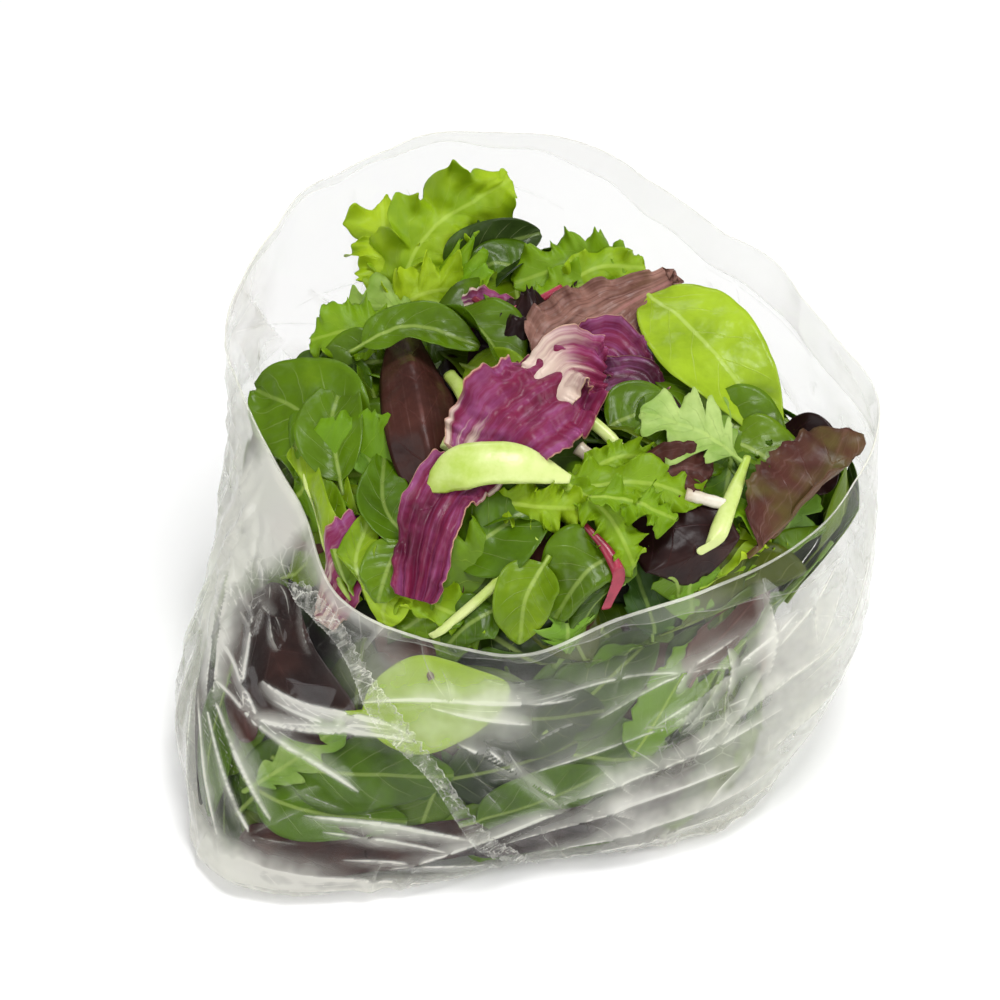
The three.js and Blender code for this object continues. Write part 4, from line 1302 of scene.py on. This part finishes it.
def red_look():
    """A dark red-brown leaf with streaks and a mauve rib, olive in patches where its tint is yellow."""
    m = LeafLook("red_look", 5.0, mottle=0.3)
    colour = m.ramp(rgb(32, 16, 16), rgb(84, 48, 40), rgb(190, 146, 130))
    olive = m.mul(m.band(m.yellow, 0.55, 1.0), m.band(m.noise(30.0, 3.0, 0.6, m.coords), 0.42, 0.62))
    colour = m.mix(m.mul(olive, 0.5), colour, rgb(104, 104, 44))
    grain = m.streaks((2.0, 16.0))
    streak = m.band(grain, 0.5, 0.72)
    light = m.band(m.share, 0.15, 0.65)
    colour = m.mix(m.mul(streak, m.mul(light, 0.4)), colour, rgb(170, 132, 128))
    shade = m.rest(m.band(grain, 0.32, 0.5))
    colour = m.mix(m.mul(shade, m.mul(light, 0.6)), colour, rgb(78, 46, 46))
    colour = m.mix(m.mul(m.vein, 0.08), colour, rgb(120, 62, 60))
    colour = m.mix(m.mul(m.rib, m.mul(light, 0.5)), colour, rgb(176, 120, 116))
    return m.surface(colour, 0.25, 0.8, glow=0.06, gloss=0.15)


def radicchio_look():
    """A purple leaf with a painted lilac sheen for its highlights, fine streaks, and cream where its tint
    says it is pale.
    """
    m = LeafLook("radicchio_look", 4.0, mottle=0.6)
    colour = m.ramp(rgb(64, 10, 32), rgb(122, 32, 66), rgb(156, 70, 122))
    fine = m.streaks((3.0, 14.0), 4.0)
    broad = m.streaks((2.0, 5.0), 4.0, shift=(3.0, 1.0, 0.0))
    # painted highlight: a lilac sheen in broad streaks and patches
    painted_lilac_sheen = m.mul(m.band(broad, 0.38, 0.72), m.band(m.cloud, 0.34, 0.6))
    colour = m.mix(m.mul(painted_lilac_sheen, 0.45), colour, rgb(170, 104, 164))
    colour = m.mix(m.mul(m.band(fine, 0.5, 0.8), 0.18), colour, rgb(206, 160, 196))
    near_base = m.sub(0.12, m.mul(m.along, 0.5))
    blotch = m.streaks((2.0, 6.0), 3.0, 0.55, (7.0, 4.0, 0.0))
    blotch = m.mul(blotch, m.rest(m.mul(m.pale, 0.6)))
    reach = m.add(m.add(blotch, m.mul(m.pale, 0.62)), near_base)
    colour = m.mix(m.mul(m.band(reach, 0.55, 0.78), 0.85), colour, rgb(226, 208, 190))
    edge = m.band(m.add(m.across, m.mul(m.cloud, 0.06)), 1.0, 1.035)
    colour = m.mix(m.mul(edge, 0.6), colour, rgb(214, 176, 132))
    return m.surface(colour, 0.26, 0.8, glow=0.1, gloss=0.22)


def stalk_look(name, colour_a, colour_b):
    """A streaked stalk, nearer its second colour towards its far end."""
    m = Nodes(name)
    coords = m.object_coords()
    streak = m.noise(110.0, 4.0, 0.6, coords)
    share = m.add(m.mul(streak, 0.8), m.mul(m.value("along"), 0.35))
    colour = m.mix(m.band(share, 0.3, 0.8), colour_a, colour_b)
    return m.living(0.15, colour, 0.3, m.bump(streak, 0.5, 0.0006))


def core_painted_shade_look():
    """Dark green with reddish patches: painted shade for the depths between leaves."""
    m = Nodes("core_painted_shade_look")
    coords = m.object_coords()
    patch = m.noise(38.0, 5.0, 0.65, coords)
    # painted shade: these near-black greens and reds stand for leaves deep in the shaded heap
    colour = m.mix(m.band(patch, 0.42, 0.62), rgb(14, 20, 8), rgb(40, 60, 16))
    colour = m.mix(m.band(m.noise(24.0, 3.0, 0.6, coords), 0.56, 0.66), colour, rgb(30, 16, 18))
    skin = m.node("ShaderNodeBsdfPrincipled", {"Base Color": colour, "Roughness": 0.6,
                                               "Normal": m.bump(patch, 0.9, 0.003)})
    return m.finish(skin.outputs[0])


def film_look(name, clearness):
    """Thin clear film: see-through, with a sharp gloss; its white on folds and crumples is painted
    highlight and painted reflection, with some of the film's own haze.
    """
    m = Nodes(name)
    coords = m.object_coords()
    ridge, white, veil, crumple = (m.value(n) for n in ("ridge", "white", "veil", "crumple"))
    # painted highlights: white lines on the ridges, broken along their length
    square = m.mul(ridge, ridge)
    width = m.add(m.mul(white, 0.36), 0.12)
    sharp = m.math("EXPONENT", m.mul(m.math("DIVIDE", square, m.mul(width, width)), -1.0))
    soft = m.mul(m.math("EXPONENT", m.mul(square, -0.7)), 0.22)
    broken = m.add(m.mul(m.band(m.noise(60.0, 3.0, 0.6, coords), 0.3, 0.6), 0.7), 0.3)
    line = m.mul(m.mul(m.add(sharp, soft), m.math("MINIMUM", white, 1.2)), broken)
    # crumples: small cells whose bright edges are painted glints, which the relief below tilts
    cells = m.cells(120.0, coords)
    edges = m.rest(m.band(cells, 0.0, 0.045))
    edges = m.mul(m.mul(edges, crumple), m.band(m.noise(85.0, 2.0, 0.5, coords), 0.42, 0.6))
    # the whitish veil, partly the film's haze and partly painted reflection, varies over the veiled areas
    cloud = m.band(m.noise(22.0, 4.0, 0.62, coords), 0.34, 0.66)
    haze_and_reflection = m.mul(veil, m.add(m.mul(cloud, 0.9), 0.45))
    facing = m.node("ShaderNodeLayerWeight", {"Blend": 0.5}).outputs["Facing"]
    # how much white shows: painted highlights on ridges and crumple edges, the veil, and more at grazing
    # angles
    amount = m.add(m.mul(line, 0.7), m.mul(edges, 0.42))
    amount = m.add(amount, m.add(haze_and_reflection, 0.008))
    amount = m.add(amount, m.mul(m.math("POWER", facing, 5.0), 0.35), clamp=True)
    height = m.mul(m.mul(cells, 2.6), m.add(crumple, 0.05))
    height = m.add(height, m.mul(m.noise(48.0, 2.0, 0.55, coords), 0.55))
    normal = m.bump(height, 0.6, 0.0016)
    glance = m.node("ShaderNodeLayerWeight", {"Blend": 0.5, "Normal": normal}).outputs["Facing"]
    shine = m.add(m.mul(m.math("POWER", glance, 5.0), 0.85), 0.019, clamp=True)
    clear = m.node("ShaderNodeBsdfTransparent",
                   {"Color": (clearness, clearness, clearness - 0.005, 1)}).outputs[0]
    gloss = m.node("ShaderNodeBsdfGlossy",
                   {"Color": (1, 1, 1, 1), "Roughness": 0.07, "Normal": normal}).outputs[0]
    front = m.node("ShaderNodeBsdfDiffuse", {"Color": rgb(250, 249, 240), "Normal": normal}).outputs[0]
    behind = m.node("ShaderNodeBsdfTranslucent",
                    {"Color": rgb(250, 249, 240), "Normal": normal}).outputs[0]
    body = m.blend(amount, clear, m.blend(0.45, front, behind))
    return m.finish(m.blend(shine, body, gloss))


def floor_look():
    """A plain pale floor."""
    m = Nodes("pale_floor")
    colour = m.mix(m.noise(6.0, 2.0, 0.5, m.object_coords()), (0.93, 0.93, 0.93, 1), (0.95, 0.95, 0.95, 1))
    return m.finish(m.node("ShaderNodeBsdfPrincipled",
                           {"Base Color": colour, "Roughness": 0.8}).outputs[0])


# ---- The scene ----

def dress(ob, slot, material, *replaced):
    """Gives a piece its material, hides the parts that it replaces and attaches it to the root body."""
    ob.data.materials.append(material)
    if replaced:
        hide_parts(*replaced)
    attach(ob, "root")


def add_aimed(name, data, place, aim):
    """Adds a light or a camera that looks from place to aim, in metres."""
    ob = bpy.data.objects.new(name, data)
    ob.location = place
    ob.rotation_mode = "QUATERNION"
    ob.rotation_quaternion = (Vector(aim) - Vector(place)).to_track_quat("-Z", "Y")
    bpy.context.scene.collection.objects.link(ob)
    return ob


# Name, place, aim, size in metres and power in watts.
LIGHTS = (
    ("key", (0.2, -0.15, 1.6), (0, 0, 0.05), 0.45, 13.2),
    ("front", (0.2, -1.3, 0.8), (0, 0, 0.06), 0.8, 6.0),
    ("back", (-0.2, 1.1, 1.0), (0, 0, 0.1), 0.5, 3.2),
    ("side", (-1.0, -0.6, 0.8), (0, 0, 0.08), 0.7, 4.4),
    ("right", (1.2, -0.2, 0.7), (0, 0, 0.05), 0.7, 7.0),
)
FLOOR_HALF = 3  # metres


# Brightness of the surroundings by height: below the horizon, at it, a little above it, overhead.
SKY = ((0.0, 0.8), (0.48, 0.5), (0.56, 0.2), (0.72, 0.26), (1.0, 0.5))


def sky():
    """A studio that is dimmer near the horizon, so the film shows both clear and bright places."""
    world = bpy.data.worlds.new("studio")
    world.use_nodes = True
    tree = world.node_tree
    way = tree.nodes.new("ShaderNodeTexCoord")
    parts = tree.nodes.new("ShaderNodeSeparateXYZ")
    lift = tree.nodes.new("ShaderNodeMapRange")
    lift.inputs[1].default_value = -1.0
    ramp = tree.nodes.new("ShaderNodeValToRGB")
    while len(ramp.color_ramp.elements) < len(SKY):
        ramp.color_ramp.elements.new(0.5)
    for element, (place, level) in zip(ramp.color_ramp.elements, SKY):
        element.position = place
        element.color = (level, level, level, 1)
    tree.links.new(way.outputs["Generated"], parts.inputs[0])
    tree.links.new(parts.outputs[2], lift.inputs[0])
    tree.links.new(lift.outputs[0], ramp.inputs[0])
    tree.links.new(ramp.outputs[0], tree.nodes["Background"].inputs[0])
    bpy.context.scene.world = world


def studio():
    """Surroundings, lights, floor and how far light is followed."""
    scene = bpy.context.scene
    sky()
    for name, place, aim, size, power in LIGHTS:
        data = bpy.data.lights.new(name, "AREA")
        data.shape, data.size, data.energy = "SQUARE", size, power
        add_aimed(name, data, place, aim)
    scene.view_settings.view_transform = "Standard"
    floor_mesh = bpy.data.meshes.new("floor")
    corners = [(x * FLOOR_HALF, y * FLOOR_HALF, 0) for x, y in ((-1, -1), (1, -1), (1, 1), (-1, 1))]
    floor_mesh.from_pydata(corners, [], [(0, 1, 2, 3)])
    floor = bpy.data.objects.new("floor", floor_mesh)
    scene.collection.objects.link(floor)
    floor_mesh.materials.append(floor_look())
    if hasattr(scene, "cycles"):
        scene.cycles.transparent_max_bounces = 16
        scene.cycles.max_bounces = 6
        scene.cycles.diffuse_bounces = 3


CAMERA_AT = (-1, -744, 782)  # millimetres about the bag's middle
CAMERA_AIM = (-12.1, -10.8, 101.2)
CAMERA_LENS, CAMERA_SENSOR = 97.2, 36


def camera():
    """The camera, at the angle that the bag is shown from."""
    data = bpy.data.cameras.new("camera")
    data.lens, data.sensor_width = CAMERA_LENS, CAMERA_SENSOR
    bpy.context.scene.camera = add_aimed("camera", data, to_frame(CAMERA_AT), to_frame(CAMERA_AIM))


def build_leaves():
    """Every leaf, as one piece for each kind."""
    for lay in (upper_left_leaves, left_leaves, middle_leaves, front_leaves, right_leaves, top_leaves,
                top_fillers, wall_heroes, wall_fillers, base_fillers):
        lay()
    spinach = green_look("spinach_look", rgb(18, 36, 4), rgb(84, 120, 6), rgb(170, 202, 44),
                         rgb(222, 236, 150), rgb(196, 218, 120))
    lettuce = green_look("lettuce_look", rgb(30, 60, 4), rgb(108, 150, 8), rgb(186, 214, 36),
                         rgb(192, 216, 84), rgb(196, 220, 96), veins=9, rough=0.38, pucker=0.8,
                         vein_mix=0.3)
    rocket = green_look("rocket_look", rgb(38, 70, 16), rgb(108, 150, 36), rgb(212, 230, 148),
                        rgb(196, 218, 130), rgb(184, 208, 112), veins=7, rough=0.4)
    looks = {"lettuce_leaves": lettuce, "rocket_leaves": rocket, "red_leaves": red_look(),
             "radicchio_leaves": radicchio_look()}
    slots = {"red_leaves": "red_leaf", "radicchio_leaves": "purple_leaf"}
    for name, leaves in kinds.items():
        dress(leaves.build(), slots.get(name, "green_leaf"), looks.get(name, spinach))


def build_rest_of_heap():
    """The dark core and the stalks."""
    points, faces = core_points()
    dress(new_mesh("leaf_core", points, faces), "green_leaf", core_painted_shade_look(), "salad_leaves")
    for name, items, slot, first, last in (
            ("pale_stalk", PALE_STALKS, "stalk", rgb(176, 204, 72), rgb(218, 230, 150)),
            ("cream_stalk", CREAM_STALKS, "stalk", rgb(190, 170, 140), rgb(236, 230, 214)),
            ("red_stalk", RED_STALKS, "red_leaf", rgb(110, 20, 40), rgb(176, 50, 76))):
        dress(stalks(name + "s", items), slot, stalk_look(name + "_look", first, last))


def build_film():
    """The bag: one sheet, its hem, its seam and its folded edge."""
    creases = film_creases()
    single, double = film_look("film_look", 0.9), film_look("double_film_look", 0.98)
    sheets = (("film_sheet", film_sheet, single, ("film_bag",)), ("film_hem", hem_sheet, double, ()),
              ("film_seam", seam_strip, double, ()), ("film_rim", rim_bead, double, ()))
    for name, make, look, replaced in sheets:
        points, faces, values = make(creases)
        dress(new_mesh(name, points, faces, values=values), "clear_film", look, *replaced)


camera()
studio()
build_leaves()
build_rest_of_heap()
build_film()
